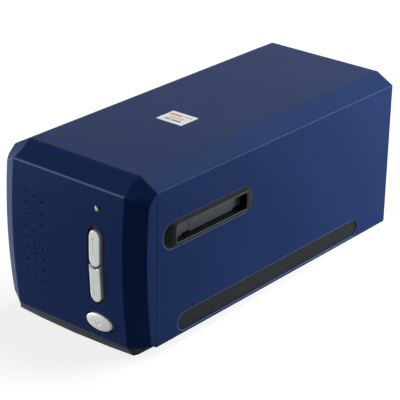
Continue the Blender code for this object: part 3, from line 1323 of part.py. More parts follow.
def tooth_corners(root, tip):
    """The four corners of a straight-sided tooth, with their shares of half its pitch."""
    return (
        (root, -TOOTH_ROOT_SHARE), (tip, -TOOTH_TIP_SHARE),
        (tip, TOOTH_TIP_SHARE), (root, TOOTH_ROOT_SHARE),
    )


def gear_outline(teeth, turn):
    """A spur gear's outline with straight-sided teeth, one of them centred on the given angle."""
    pitch = GEAR_MODULE * teeth / 2
    tip = pitch + GEAR_MODULE * ADDENDUM_SHARE
    root = pitch - GEAR_MODULE * DEDENDUM_SHARE
    step = 2 * pi / teeth
    points = []
    for tooth in range(teeth):
        middle = turn + tooth * step
        for radius, share in tooth_corners(root, tip):
            angle = middle + share * step / 2
            points.append((radius * cos(angle), radius * sin(angle)))
    return points


def rack_outline():
    """The rack's plan, teeth towards -X, with a tooth centred on the gear's axis."""
    pitch = pi * GEAR_MODULE
    tip = RACK_PITCH_X - GEAR_MODULE * ADDENDUM_SHARE
    root = RACK_PITCH_X + GEAR_MODULE * DEDENDUM_SHARE
    first = GEAR_Y - (RACK_TEETH - 1) / 2 * pitch
    points = []
    for tooth in range(RACK_TEETH):
        middle = first + tooth * pitch
        for x, share in tooth_corners(root, tip):
            points.append((x, middle + share * pitch / 2))
    inner = -CARRIAGE_HALF_WIDTH + CARRIAGE_WALL / 2
    end = pitch
    points += [(root, points[-1][1] + end), (inner, points[-1][1] + end)]
    points += [(inner, points[0][1] - end), (root, points[0][1] - end)]
    return points


def mirror_frame():
    """The mirror's middle and its two directions: along the slope and out of its face."""
    middle = Vector((0, SLOT_Y, OPTIC_Z))
    down = Vector((0, 1, -1)).normalized()
    face = Vector((0, 1, 1)).normalized()
    return middle, down, face


def make_scan_carriage(black):
    half = CARRIAGE_HALF_WIDTH
    wall = CARRIAGE_WALL
    floor_top = CARRIAGE_FLOOR_TOP
    top = CARRIAGE_TOP
    front = CARRIAGE_FRONT_Y
    rear = CARRIAGE_REAR_Y
    low = (-half, front, CARRIAGE_FLOOR_Z)
    carriage = piece("scan_carriage", block(low, (half, rear, top)), black, origin=(0, SLOT_Y, ROD_Z))
    hood = SLOT_Y + CARRIAGE_FRONT_ROOM
    inside = half - wall
    cut(carriage, block((-inside, front + wall, floor_top), (inside, rear - wall, top + CUT_OVERRUN)))
    beyond = half + CUT_OVERRUN
    cut(carriage, block(
        (-beyond, hood, top - CARRIAGE_REAR_TRIM), (beyond, rear + CUT_OVERRUN, top + CUT_OVERRUN)))
    tall = BEARING_HEIGHT / 2
    for side, y in bearing_places():
        span = mirrored(side, inside, ROD_X + BEARING_WIDTH / 2)
        low = (span[0], y, ROD_Z - tall)
        fuse(carriage, block(low, (span[1], y + BEARING_LENGTH, ROD_Z + tall)))
    for side in (-1, 1):
        cut(carriage, rod("Y", (side * ROD_X, ROD_Z), ROD_RADIUS + GAP, front, rear))
    fuse(carriage, prism(rack_outline(), "Z", RACK_Z, RACK_Z + RACK_HEIGHT))
    middle, down, face = mirror_frame()
    back = middle - face * (MIRROR_THICKNESS + GAP)
    upper = back - down * MIRROR_REACH
    lower = back + down * MIRROR_REACH
    root = floor_top - CARRIAGE_FLOOR / 2
    rib = [(upper.y, root), (upper.y, upper.z), (lower.y, max(lower.z, root)), (lower.y, root)]
    for side in (-1, 1):
        span = mirrored(side, inside - MIRROR_RIB_WALL, half - wall / 2)
        fuse(carriage, prism(rib, "X", *span))
    saddle = SADDLE_LENGTH / 2
    wide = LENS_RADIUS + GAP + STRAP_THICKNESS + STRAP_EAR
    fuse(carriage, block((-wide, LENS_Y - saddle, root), (wide, LENS_Y + saddle, OPTIC_Z)))
    beyond = saddle + CUT_OVERRUN
    cut(carriage, rod("Y", (0, OPTIC_Z), LENS_RADIUS + GAP, LENS_Y - beyond, LENS_Y + beyond, LENS_SEGMENTS))
    return carriage


def make_mirror(glass):
    middle, down, face = mirror_frame()
    reach = down * MIRROR_REACH
    back = face * MIRROR_THICKNESS
    corners = (middle - reach, middle + reach, middle + reach - back, middle - reach - back)
    outline = [(point.y, point.z) for point in corners]
    return piece("mirror", prism(outline, "X", -OPTIC_HALF_WIDTH, OPTIC_HALF_WIDTH), glass)


def make_lens_barrel(black):
    front = LENS_Y - LENS_LENGTH / 2
    back = LENS_Y + LENS_LENGTH / 2
    glass = LENS_RADIUS - LENS_GLASS_RIM
    flange = LENS_RADIUS + LENS_FLANGE
    sink = front + LENS_GLASS_SINK
    profile = (
        (glass / 2, sink - LENS_GLASS_CROWN), (glass, sink), (glass, front),
        (flange, front), (flange, front + LENS_FLANGE_LENGTH),
        (LENS_RADIUS, front + LENS_FLANGE_LENGTH), (LENS_RADIUS, back),
        (glass, back), (glass, back - LENS_GLASS_SINK),
    )
    return piece("lens_barrel", turned("Y", (0, OPTIC_Z), profile, LENS_SEGMENTS), black)


def arc_over(radius, lift):
    """An arc over the lens, which starts and ends the given angle above the level."""
    steps = LENS_SEGMENTS // 2
    angles = [lift + (pi - 2 * lift) * step / steps for step in range(steps + 1)]
    return [(radius * cos(angle), OPTIC_Z + radius * sin(angle)) for angle in angles]


def make_lens_clamp(steel):
    """A strap over the barrel, with an ear on each side of the saddle."""
    inner = LENS_RADIUS + GAP
    outer = inner + STRAP_THICKNESS
    ear = OPTIC_Z + GAP
    outer_arc = arc_over(outer, atan2(STRAP_THICKNESS + GAP, outer))
    inner_arc = arc_over(inner, atan2(GAP, inner))
    reach = outer + STRAP_EAR
    ear_top = ear + STRAP_THICKNESS
    outline = [(reach, ear), (reach, ear_top), (outer_arc[0][0], ear_top)] + outer_arc[1:-1]
    outline += [(outer_arc[-1][0], ear_top), (-reach, ear_top), (-reach, ear), (-inner_arc[0][0], ear)]
    outline += inner_arc[::-1][1:-1] + [(inner_arc[0][0], ear)]
    strap = prism(outline, "Y", LENS_Y - STRAP_WIDTH / 2, LENS_Y + STRAP_WIDTH / 2)
    return piece("lens_clamp", strap, steel)


def make_sensor(green, black):
    half = OPTIC_HALF_WIDTH
    reach = SENSOR_BOARD_HEIGHT / 2
    y = SENSOR_BOARD_Y
    sheet = block((-half, y, OPTIC_Z - reach), (half, y + BOARD_THICKNESS, OPTIC_Z + reach))
    piece("sensor_board", sheet, green)
    wide = half - SENSOR_FROM_BOARD_EDGE
    tall = SENSOR_HEIGHT / 2
    front = y - GAP - SENSOR_THICKNESS
    piece("sensor_chip", block((-wide, front, OPTIC_Z - tall), (wide, y - GAP, OPTIC_Z + tall)), black)


def make_guide_rods(steel):
    for name, side in (("guide_rod_left", -1), ("guide_rod_right", 1)):
        reach = (ROD_POST_FRONT_Y - ROD_SEAT, ROD_POST_REAR_Y + ROD_SEAT)
        piece(name, rod("Y", (side * ROD_X, ROD_Z), ROD_RADIUS, *reach), steel)


# Gear train

def make_reduction_gear(ivory):
    """Large wheel and small pinion in one moulding, free on the stud."""
    bore = STUD_RADIUS + GAP
    axis = (GEAR_X, GEAR_Y)
    to_motor = atan2(MOTOR_Y - GEAR_Y, MOTOR_SHIFT_X)
    wheel = [(axis[0] + a, axis[1] + b) for a, b in gear_outline(WHEEL_TEETH, to_motor)]
    pinion = [(axis[0] + a, axis[1] + b) for a, b in gear_outline(PINION_TEETH, pi / PINION_TEETH)]
    top = RACK_Z + RACK_HEIGHT
    blank = prism(wheel, "Z", WHEEL_Z, WHEEL_Z + WHEEL_THICKNESS)
    gear = piece("reduction_gear", blank, ivory, origin=(*axis, WHEEL_Z))
    fuse(gear, prism(pinion, "Z", WHEEL_Z + WHEEL_THICKNESS / 2, top))
    cut(gear, rod("Z", axis, bore, WHEEL_Z - CUT_OVERRUN, top + CUT_OVERRUN, SMALL_SEGMENTS))
    return gear


def make_gear_stud(steel):
    """Pin that hangs from the bracket. Its head keeps the gear from dropping."""
    bottom = WHEEL_Z - GAP
    profile = (
        (STUD_HEAD_RADIUS, bottom - STUD_HEAD), (STUD_HEAD_RADIUS, bottom), (STUD_RADIUS, bottom),
        (STUD_RADIUS, BRACKET_Z + BRACKET_PLATE),
    )
    return piece("gear_stud", turned("Z", (GEAR_X, GEAR_Y), profile, SMALL_SEGMENTS), steel)


def motor_screw_places():
    return [(MOTOR_X, MOTOR_Y + away * MOTOR_EAR_REACH) for away in (-1, 1)]


def make_motor_bracket(steel):
    outer = BRACKET_X
    inner = -CARRIAGE_HALF_WIDTH - BRACKET_INNER_ROOM
    top = BRACKET_Z + BRACKET_PLATE
    front = GEAR_Y - BRACKET_FRONT_ROOM
    rear = MOTOR_Y + BRACKET_REAR_ROOM
    seat = TRAY_TOP + GAP
    section = [
        (inner, BRACKET_Z), (inner, top), (outer, top), (outer, seat),
        (outer + BRACKET_FOOT, seat), (outer + BRACKET_FOOT, seat + BRACKET_PLATE),
        (outer + BRACKET_PLATE, seat + BRACKET_PLATE), (outer + BRACKET_PLATE, BRACKET_Z),
    ]
    bracket = piece("motor_bracket", prism(section, "Y", front, rear), steel)
    low = BRACKET_Z - CUT_OVERRUN
    high = top + CUT_OVERRUN
    cut(bracket, rod("Z", (GEAR_X, GEAR_Y), STUD_RADIUS + GAP, low, high, SMALL_SEGMENTS))
    cut(bracket, rod("Z", (MOTOR_X, MOTOR_Y), MOTOR_BOSS_RADIUS + GAP, low, high))
    for hole in motor_screw_places():
        cut(bracket, rod("Z", hole, MOTOR_SCREW_RADIUS + GAP, low, high, SMALL_SEGMENTS))
    return bracket


def make_stepper_motor(steel):
    axis = (MOTOR_X, MOTOR_Y)
    ears = MOTOR_Z + MOTOR_EAR_THICKNESS
    can = rod("Z", axis, MOTOR_RADIUS, MOTOR_Z, MOTOR_Z + MOTOR_HEIGHT, MOTOR_SEGMENTS)
    motor = piece("stepper_motor", can, steel)
    ear = pill(axis, 2 * MOTOR_EAR_RADIUS, 2 * (MOTOR_EAR_REACH + MOTOR_EAR_RADIUS), MOTOR_EAR_STEPS)
    fuse(motor, prism(ear, "Z", MOTOR_Z, ears))
    fuse(motor, rod("Z", axis, MOTOR_BOSS_RADIUS, BRACKET_Z, MOTOR_Z + MOTOR_EAR_THICKNESS / 2))
    bore = MOTOR_SHAFT_RADIUS + GAP
    shaft_end = MOTOR_Z + MOTOR_SHAFT_IN + GAP
    cut(motor, rod("Z", axis, bore, BRACKET_Z - CUT_OVERRUN, shaft_end, SMALL_SEGMENTS))
    low = MOTOR_Z - CUT_OVERRUN
    for hole in motor_screw_places():
        cut(motor, rod("Z", hole, MOTOR_SCREW_RADIUS + GAP, low, ears + CUT_OVERRUN, SMALL_SEGMENTS))
    return motor


def make_motor_rotor(steel, brass):
    axis = (MOTOR_X, MOTOR_Y)
    bottom = WHEEL_Z + WHEEL_THICKNESS / 2 - MOTOR_PINION_HEIGHT / 2
    top = bottom + MOTOR_PINION_HEIGHT
    origin = (*axis, bottom)
    shaft = rod("Z", axis, MOTOR_SHAFT_RADIUS, bottom, MOTOR_Z + MOTOR_SHAFT_IN, SMALL_SEGMENTS)
    piece("motor_shaft", shaft, steel, origin=origin)
    turn = atan2(GEAR_Y - MOTOR_Y, -MOTOR_SHIFT_X) + pi / PINION_TEETH
    outline = [(axis[0] + a, axis[1] + b) for a, b in gear_outline(PINION_TEETH, turn)]
    pinion = piece("motor_pinion", prism(outline, "Z", bottom, top), brass, origin=origin)
    ends = (bottom - CUT_OVERRUN, top + CUT_OVERRUN)
    cut(pinion, rod("Z", axis, MOTOR_PINION_BORE, *ends, SMALL_SEGMENTS))


def make_motor_screws(steel):
    sizes = (MOTOR_SCREW_HEAD_RADIUS, MOTOR_SCREW_HEAD, MOTOR_SCREW_RADIUS, MOTOR_SCREW_LENGTH)
    seat = MOTOR_Z + MOTOR_EAR_THICKNESS + GAP
    for number, (x, y) in enumerate(motor_screw_places(), start=1):
        make_screw(f"motor_screw_{number}", x, y, seat, -1, sizes, steel)


# Boards and sockets

def make_button_board(green, black):
    half = BUTTON_BOARD_WIDTH / 2
    y = BUTTON_BOARD_Y
    low = (BUTTONS_X - half, y, BUTTON_BOARD_BOTTOM)
    high = (BUTTONS_X + half, y + BOARD_THICKNESS, BODY_HEIGHT - BUTTON_BOARD_FROM_TOP)
    board = piece("button_board", block(low, high), green)
    bulb = LED_BULB_RADIUS
    tip = y - LED_BULB_HEIGHT
    profile = ((bulb / 2, tip), (bulb, tip + LED_BULB_CROWN), (bulb, y + BOARD_THICKNESS / 2))
    fuse(board, turned("Y", (LED_X, LED_Z), profile, SMALL_SEGMENTS))
    places = (
        ("upper_switch", BUTTONS_X, (CAP_SPLIT + CAP_STACK_TOP) / 2),
        ("lower_switch", BUTTONS_X, (CAP_STACK_BOTTOM + CAP_SPLIT - CAP_PARTING) / 2),
        ("power_switch", POWER_X, POWER_Z),
    )
    for name, x, z in places:
        reach = SWITCH_SIZE / 2
        back = y - GAP
        body = block((x - reach, back - SWITCH_BODY, z - reach), (x + reach, back, z + reach))
        switch = piece(name, body, black)
        root = back - SWITCH_BODY / 2
        fuse(switch, rod("Y", (x, z), SWITCH_PLUNGER_RADIUS, SWITCH_FRONT_Y, root, SMALL_SEGMENTS))
    return board


def make_main_board(green, black):
    half = MAIN_BOARD_HALF_WIDTH
    rear = MAIN_BOARD_REAR_Y
    top = MAIN_BOARD_Z + BOARD_THICKNESS
    sheet = block((-half, rear - MAIN_BOARD_LENGTH, MAIN_BOARD_Z), (half, rear, top))
    piece("main_board", sheet, green)
    chip = CHIP_SIZE / 2
    y = rear - CHIP_FROM_REAR
    low = top + GAP
    body = block((-chip, y - chip, low), (chip, y + chip, low + CHIP_HEIGHT))
    piece("controller_chip", body, black)


def make_usb_socket(steel):
    half = USB_WIDTH / 2
    back = PANEL_Y - GAP
    front = back - USB_LENGTH
    top = SOCKET_Z + USB_HEIGHT
    middle = (SOCKET_Z + top) / 2
    socket = piece("usb_socket", block((USB_X - half, front, SOCKET_Z), (USB_X + half, back, top)), steel)
    wide = USB_PORT_WIDTH / 2
    tall = USB_PORT_HEIGHT / 2
    low = (USB_X - wide, back - USB_PORT_DEPTH, middle - tall)
    cut(socket, block(low, (USB_X + wide, back + CUT_OVERRUN, middle + tall)))
    tongue = USB_TONGUE_WIDTH / 2
    thick = USB_TONGUE_HEIGHT / 2
    fuse(socket, block(
        (USB_X - tongue, back - USB_PORT_DEPTH - CUT_OVERRUN, middle - thick),
        (USB_X + tongue, back - USB_TONGUE_SINK, middle + thick)))
    return socket


def make_power_inlet(black):
    half = INLET_WIDTH / 2
    back = PANEL_Y - GAP
    front = back - INLET_LENGTH
    top = SOCKET_Z + INLET_HEIGHT
    middle = (INLET_X, (SOCKET_Z + top) / 2)
    body = block((INLET_X - half, front, SOCKET_Z), (INLET_X + half, back, top))
    inlet = piece("power_inlet", body, black)
    floor = back - INLET_DEPTH
    cut(inlet, rod("Y", middle, INLET_BORE_RADIUS, floor, back + CUT_OVERRUN))
    pin_ends = (floor - CUT_OVERRUN, back - INLET_PIN_SINK)
    fuse(inlet, rod("Y", middle, INLET_PIN_RADIUS, *pin_ends, SMALL_SEGMENTS))
    return inlet


def build():
    for old in list(bpy.data.objects):
        bpy.data.objects.remove(old, do_unlink=True)
    blue = finish("blue plastic", BLUE_COLOR, 0.42)
    dark = finish("dark grey plastic", DARK_COLOR, 0.5)
    black = finish("black plastic", BLACK_COLOR, 0.5)
    silver = finish("silver plastic", SILVER_COLOR, 0.35)
    rubber = finish("rubber", RUBBER_COLOR, 0.75)
    lens_green = finish("green lens", GREEN_COLOR, 0.15)
    steel = finish("steel", STEEL_COLOR, 0.3, 1.0)
    shade = finish("black baffle plastic", CARRIAGE_COLOR, 0.7)
    ivory = finish("ivory acetal", IVORY_COLOR, 0.4)
    board = finish("circuit board", BOARD_COLOR, 0.4)
    brass = finish("brass", BRASS_COLOR, 0.3, 1.0)
    glass = finish("mirror glass", GLASS_COLOR, 0.05, 1.0)
    white = finish("opal plastic", WHITE_COLOR, 0.3)

    make_main_housing(blue)
    make_front_bezel(blue)
    make_scan_buttons(silver)
    make_button_surround(black)
    make_power_button(silver)
    make_status_lens(lens_green)
    for hand, side in (("right", 1), ("left", -1)):
        make_slot_bezel(f"{hand}_slot_bezel", side, dark)
        make_flap(f"{hand}_flap", side, dark)
        make_flap_pin(f"{hand}_flap_pin", side, steel)
        make_flap_spring(f"{hand}_flap_spring", side, steel)
        make_side_strip(f"{hand}_side_strip", side, rubber)
    make_base_tray(dark)
    make_feet(rubber)
    make_tray_screws(steel)
    make_rear_panel(dark)
    make_film_stage(shade)
    make_detent_spring(steel)
    make_lamp_housing(shade)
    make_lamp_tube(white)
    make_diffuser(white)
    make_inverter_board(board)
    make_guide_rods(steel)
    make_scan_carriage(shade)
    make_mirror(glass)
    make_lens_barrel(black)
    make_lens_clamp(steel)
    make_sensor(board, black)
    make_motor_bracket(steel)
    make_stepper_motor(steel)
    make_motor_rotor(steel, brass)
    make_reduction_gear(ivory)
    make_gear_stud(steel)
    make_motor_screws(steel)
    make_button_board(board, black)
    make_main_board(board, black)
    make_usb_socket(steel)
    make_power_inlet(black)


build()
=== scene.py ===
from math import radians

import bmesh
import bpy
from mathutils import Matrix, Vector


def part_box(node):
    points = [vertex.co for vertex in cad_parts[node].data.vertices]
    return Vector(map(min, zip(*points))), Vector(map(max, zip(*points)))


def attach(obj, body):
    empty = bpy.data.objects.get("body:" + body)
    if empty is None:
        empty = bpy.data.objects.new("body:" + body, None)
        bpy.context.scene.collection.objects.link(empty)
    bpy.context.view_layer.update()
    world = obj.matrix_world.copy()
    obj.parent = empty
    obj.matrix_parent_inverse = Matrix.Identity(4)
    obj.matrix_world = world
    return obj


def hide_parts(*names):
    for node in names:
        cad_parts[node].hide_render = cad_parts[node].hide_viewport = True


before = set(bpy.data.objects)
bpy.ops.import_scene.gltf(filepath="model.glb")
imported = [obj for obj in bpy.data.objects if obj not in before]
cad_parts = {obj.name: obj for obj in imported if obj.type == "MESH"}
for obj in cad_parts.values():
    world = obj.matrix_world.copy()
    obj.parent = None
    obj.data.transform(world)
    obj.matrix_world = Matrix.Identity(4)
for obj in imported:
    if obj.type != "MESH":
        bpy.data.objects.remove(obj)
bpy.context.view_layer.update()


# Main housing
# A blue sleeve moulded in ABS with a fine spark-eroded texture. Its two long shoulders are sloped,
# and every edge has the small round that the tool leaves, with a thin painted highlight along it.

MM = 0.001


def fed(tree, socket, source):
    """Links a socket to another one, or sets it to a plain value."""
    if isinstance(source, bpy.types.NodeSocket):
        tree.links.new(source, socket)
    else:
        socket.default_value = source


def node(tree, kind, settings=None, **values):
    """Adds one shader node; values are its input sockets by name, with _ for a space."""
    made = tree.nodes.new("ShaderNode" + kind)
    for name, value in (settings or {}).items():
        setattr(made, name, value)
    for name, value in values.items():
        fed(tree, made.inputs[name.replace("_", " ")], value)
    return made


def worked_out(tree, kind, operation, *sources):
    """Adds a Math or VectorMath node and feeds its inputs in order."""
    made = node(tree, kind, {"operation": operation})
    for socket, source in zip(made.inputs, sources):
        fed(tree, socket, source)
    return made


def shaded(tree, colour, tone):
    """A colour made a little lighter and darker by a tone round 1."""
    made = node(tree, "VectorMath", {"operation": "SCALE"}, Scale=tone)
    made.inputs[0].default_value = colour
    return made.outputs["Vector"]


def laid_over(tree, share, under, colour):
    """A colour that covers another one where share is 1."""
    mixed = node(tree, "Mix", {"data_type": "RGBA"})
    share_socket, under_socket, over_socket = mixed.inputs[0], mixed.inputs[6], mixed.inputs[7]
    tree.links.new(share, share_socket)
    tree.links.new(under, under_socket)
    over_socket.default_value = (*colour, 1.0)
    return mixed.outputs[2]


def spread(tree, noise, least, most):
    """A noise's usual values, 0.3 to 0.7, stretched to run from least to most."""
    made = node(tree, "MapRange", Value=noise, From_Min=0.3, From_Max=0.7,
                To_Min=least, To_Max=most)
    return made.outputs["Result"]


def new_material(name):
    """An empty material, its node tree and its shader."""
    made = bpy.data.materials.new(name)
    made.use_nodes = True
    return made, made.node_tree, made.node_tree.nodes["Principled BSDF"]


def effect(name, inputs, outputs):
    """Starts a node group with named number inputs and outputs: its tree and its two end nodes."""
    tree = bpy.data.node_groups.new(name, "ShaderNodeTree")
    for label, value in inputs.items():
        made = tree.interface.new_socket(name=label, in_out="INPUT",
                                         socket_type="NodeSocketFloat")
        made.default_value = value
    for label, kind in outputs.items():
        tree.interface.new_socket(name=label, in_out="OUTPUT", socket_type="NodeSocket" + kind)
    return tree, tree.nodes.new("NodeGroupInput"), tree.nodes.new("NodeGroupOutput")


def mould_texture():
    """Fine pits of a spark-eroded tool, and slow cloudy changes of tone. Scale is pits a metre."""
    tree, start, end = effect("mould_texture", {"Scale": 2500.0},
                              {"Height": "Float", "Tone": "Float"})
    place = node(tree, "TexCoord").outputs["Object"]
    pits = node(tree, "TexNoise", Vector=place, Scale=start.outputs["Scale"],
                Detail=3.0, Roughness=0.6)
    cloud = node(tree, "TexNoise", Vector=place, Scale=22.0, Detail=4.0, Roughness=0.55)
    tree.links.new(pits.outputs["Fac"], end.inputs["Height"])
    tree.links.new(cloud.outputs["Fac"], end.inputs["Tone"])
    return tree


FLAT_LIKENESS = 0.995
EDGE_LIKENESS = 0.93


def edge_round_and_highlight():
    """Where a normal rounded over Width metres leaves the flat: the mask for a painted edge
    highlight, and that rounded normal.
    """
    tree, start, end = effect("edge_round_and_highlight", {"Width": 0.8 * MM},
                              {"Edge": "Float", "Normal": "Vector"})
    soft = node(tree, "Bevel", {"samples": 8}, Radius=start.outputs["Width"]).outputs["Normal"]
    flat = node(tree, "NewGeometry").outputs["Normal"]
    likeness = worked_out(tree, "VectorMath", "DOT_PRODUCT", soft, flat)
    edge = node(tree, "MapRange", Value=likeness.outputs["Value"],
                From_Min=FLAT_LIKENESS, From_Max=EDGE_LIKENESS, To_Min=0.0, To_Max=1.0)
    tree.links.new(edge.outputs["Result"], end.inputs["Edge"])
    tree.links.new(soft, end.inputs["Normal"])
    return tree


def settled_dust():
    """A thin film of dust on what faces up, broken into patches. Amount is its thickest share."""
    tree, start, end = effect("settled_dust", {"Amount": 0.1}, {"Mask": "Float"})
    facing = node(tree, "SeparateXYZ", Vector=node(tree, "NewGeometry").outputs["Normal"])
    up = node(tree, "MapRange", Value=facing.outputs["Z"], From_Min=0.6, From_Max=1.0)
    place = node(tree, "TexCoord").outputs["Object"]
    patch = node(tree, "TexNoise", Vector=place, Scale=60.0, Detail=5.0, Roughness=0.7)
    cover = worked_out(tree, "Math", "MULTIPLY", up.outputs["Result"], patch.outputs["Fac"])
    share = worked_out(tree, "Math", "MULTIPLY", cover.outputs["Value"], start.outputs["Amount"])
    tree.links.new(share.outputs["Value"], end.inputs["Mask"])
    return tree


TEXTURE = mould_texture()
EDGES = edge_round_and_highlight()
DUST = settled_dust()
DUST_COLOUR = (0.42, 0.41, 0.39)
SHEEN_CHANGE = 0.04
UNTINTED = (1.0, 1.0, 1.0, 1.0)


def moulded(name, colour, rubbed, roughness, pits, depth, edge, dust=0.02, gloss=0.2,
            tint=UNTINTED):
    """A moulded plastic: its colour, the colour of the highlight painted along its edges, pits a
    metre and their depth.

    The depth of the pits and the width of the painted edge highlight are in metres.
    """
    made, tree, shader = new_material(name)
    texture = node(tree, "Group", {"node_tree": TEXTURE}, Scale=pits)
    edges = node(tree, "Group", {"node_tree": EDGES}, Width=edge)
    film = node(tree, "Group", {"node_tree": DUST}, Amount=dust)
    toned = shaded(tree, colour, spread(tree, texture.outputs["Tone"], 0.93, 1.07))
    # Painted highlight: a lighter colour laid over the edges, where the rounded normal leaves the
    # flat.
    edge_highlit = laid_over(tree, edges.outputs["Edge"], toned, rubbed)
    dusty = laid_over(tree, film.outputs["Mask"], edge_highlit, DUST_COLOUR)
    tree.links.new(dusty, shader.inputs["Base Color"])
    sheen = spread(tree, texture.outputs["Height"],
                   roughness - SHEEN_CHANGE, roughness + SHEEN_CHANGE)
    tree.links.new(sheen, shader.inputs["Roughness"])
    bump = node(tree, "Bump", Strength=0.5, Distance=depth,
                Height=texture.outputs["Height"], Normal=edges.outputs["Normal"])
    tree.links.new(bump.outputs["Normal"], shader.inputs["Normal"])
    shader.inputs["Specular IOR Level"].default_value = gloss
    shader.inputs["Specular Tint"].default_value = tint
    return made


def finish_nodes(material, *names):
    """Gives CAD nodes a material through their slots."""
    for name in names:
        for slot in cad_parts[name].material_slots:
            slot.material = material


BLUE_COLOUR = (0.0052, 0.0205, 0.0900)
BLUE_TINT = (0.45, 0.75, 1.0, 1.0)
BLUE = moulded("satin_blue_abs", colour=BLUE_COLOUR, rubbed=(0.100, 0.150, 0.270),
               roughness=0.42, pits=2600.0, depth=0.04 * MM, edge=1.1 * MM, dust=0.005,
               gloss=0.05, tint=BLUE_TINT)
finish_nodes(BLUE, "main_housing")


# Label on the top
# A white polyester sticker behind the film slot. Its print is a plain orange bar and grey bars
# that stand for lines of small type, and it lies a hair above the moulding it is stuck to.

def new_piece(name, built):
    """An object in the scene with the mesh that was built for it."""
    mesh = bpy.data.meshes.new(name)
    built.to_mesh(mesh)
    built.free()
    made = bpy.data.objects.new(name, mesh)
    bpy.context.scene.collection.objects.link(made)
    return made


def sheet_of(name, material, corner, size, height, thickness):
    """A thin flat piece lying level: corner and size in plan, and the height that it lies at."""
    built = bmesh.new()
    bmesh.ops.create_cube(built, size=1.0)
    for vert in built.verts:
        across, along, up = (share + 0.5 for share in vert.co)
        vert.co = Vector((corner[0] + size[0] * across, corner[1] + size[1] * along,
                          height + thickness * up))
    made = new_piece(name, built)
    made.data.materials.append(material)
    return made


def printed(name, colour, roughness):
    """A printed or bare polyester film: nearly flat, with the faint orange peel of its lacquer."""
    made, tree, shader = new_material(name)
    place = node(tree, "TexCoord").outputs["Object"]
    peel = node(tree, "TexNoise", Vector=place, Scale=900.0, Detail=2.0)
    tone = node(tree, "MapRange", Value=peel.outputs["Fac"], To_Min=0.94, To_Max=1.02)
    tree.links.new(shaded(tree, colour, tone.outputs["Result"]), shader.inputs["Base Color"])
    shader.inputs["Roughness"].default_value = roughness
    bump = node(tree, "Bump", Strength=0.3, Distance=0.02 * MM, Height=peel.outputs["Fac"])
    tree.links.new(bump.outputs["Normal"], shader.inputs["Normal"])
    return made


LABEL_CORNER = (-9.8 * MM, -38.2 * MM)
LABEL_SIZE = (21.4 * MM, 17.8 * MM)
LABEL_THICKNESS = 0.12 * MM
LABEL_SUNK = 0.01 * MM
label_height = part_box("main_housing")[1].z - LABEL_SUNK
POLYESTER = printed("white_polyester", (0.80, 0.80, 0.79), roughness=0.45)
label = sheet_of("top_label", POLYESTER, LABEL_CORNER, LABEL_SIZE, label_height,
                 LABEL_THICKNESS)
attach(label, "casing")

INK_ROUGHNESS = 0.5
INKS = {"orange": printed("orange_ink", (0.74, 0.22, 0.05), INK_ROUGHNESS),
        "grey": printed("grey_ink", (0.30, 0.30, 0.31), INK_ROUGHNESS),
        "black": printed("black_ink", (0.05, 0.05, 0.055), INK_ROUGHNESS)}
INK_THICKNESS = 0.03 * MM
INK_SUNK = 0.01 * MM
ink_height = label_height + LABEL_THICKNESS - INK_SUNK
# Each bar: its ink, left and right as shares of the width, far and near edge as shares of the depth
PRINT = (("orange", 0.07, 0.55, 0.20, 0.33), ("grey", 0.60, 0.90, 0.21, 0.27),
         ("grey", 0.22, 0.42, 0.45, 0.50), ("grey", 0.46, 0.80, 0.45, 0.50),
         ("grey", 0.22, 0.58, 0.57, 0.61), ("grey", 0.62, 0.76, 0.57, 0.61),
         ("black", 0.18, 0.40, 0.70, 0.79), ("black", 0.44, 0.80, 0.70, 0.79))
for number, (ink, left, right, far, near) in enumerate(PRINT):
    corner = (LABEL_CORNER[0] + left * LABEL_SIZE[0],
              LABEL_CORNER[1] + (1 - near) * LABEL_SIZE[1])
    size = ((right - left) * LABEL_SIZE[0], (near - far) * LABEL_SIZE[1])
    bar = sheet_of(f"label_print_{number + 1}", INKS[ink], corner, size, ink_height,
                   INK_THICKNESS)
    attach(bar, "casing")


# Front bezel
# A blue moulding in the housing's own plastic that closes the front: a bulging face with sloped
# cheeks and brow, dimples, and openings for the buttons and the lamp. Its corners turn softly, and
# a pale painted highlight runs along the fold under the brow.

WELD = 0.002 * MM
LARGE_FACES_LEAD = 100


def softened(name, node_name, material, soft_below, reshaped):
    """A CAD piece's mesh again, reshaped, shaded soft where its faces meet below an angle."""
    built = bmesh.new()
    built.from_mesh(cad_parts[node_name].data)
    bmesh.ops.remove_doubles(built, verts=built.verts, dist=WELD)
    for vert in built.verts:
        vert.co = reshaped(vert.co)
    for face in built.faces:
        face.smooth = True
    for edge in built.edges:
        edge.smooth = (len(edge.link_faces) == 2
                       and edge.calc_face_angle() < radians(soft_below))
    made = new_piece(name, built)
    made.data.materials.append(material)
    weighted = made.modifiers.new("large_faces_stay_flat", "WEIGHTED_NORMAL")
    weighted.keep_sharp = True
    weighted.weight = LARGE_FACES_LEAD
    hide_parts(node_name)
    return made


BEZEL_FOOT = 9.2 * MM
FACE_LOWERED = 2.0 * MM
CHEEK_FOOT_START = 45.5 * MM
CHEEK_FOOT_WIDTH = 8.5 * MM
CHEEK_FOOT_RISE = 2.6 * MM


def lowered(point):
    """The bezel's bottom edge hangs a little lower in the middle than under the cheeks."""
    if point.z > BEZEL_FOOT:
        return point
    under_cheek = min(max((abs(point.x) - CHEEK_FOOT_START) / CHEEK_FOOT_WIDTH, 0.0), 1.0)
    return Vector((point.x, point.y, point.z - FACE_LOWERED + CHEEK_FOOT_RISE * under_cheek))


FOLD_HEIGHT = 109.3 * MM
FOLD_BELOW = 1.0 * MM
FOLD_ABOVE = 0.8 * MM
FOLD_HALF_LENGTH = 46.5 * MM
FOLD_END_FADE = 1.0 * MM
FOLD_HIGHLIGHT_COLOUR = (0.135, 0.185, 0.330)


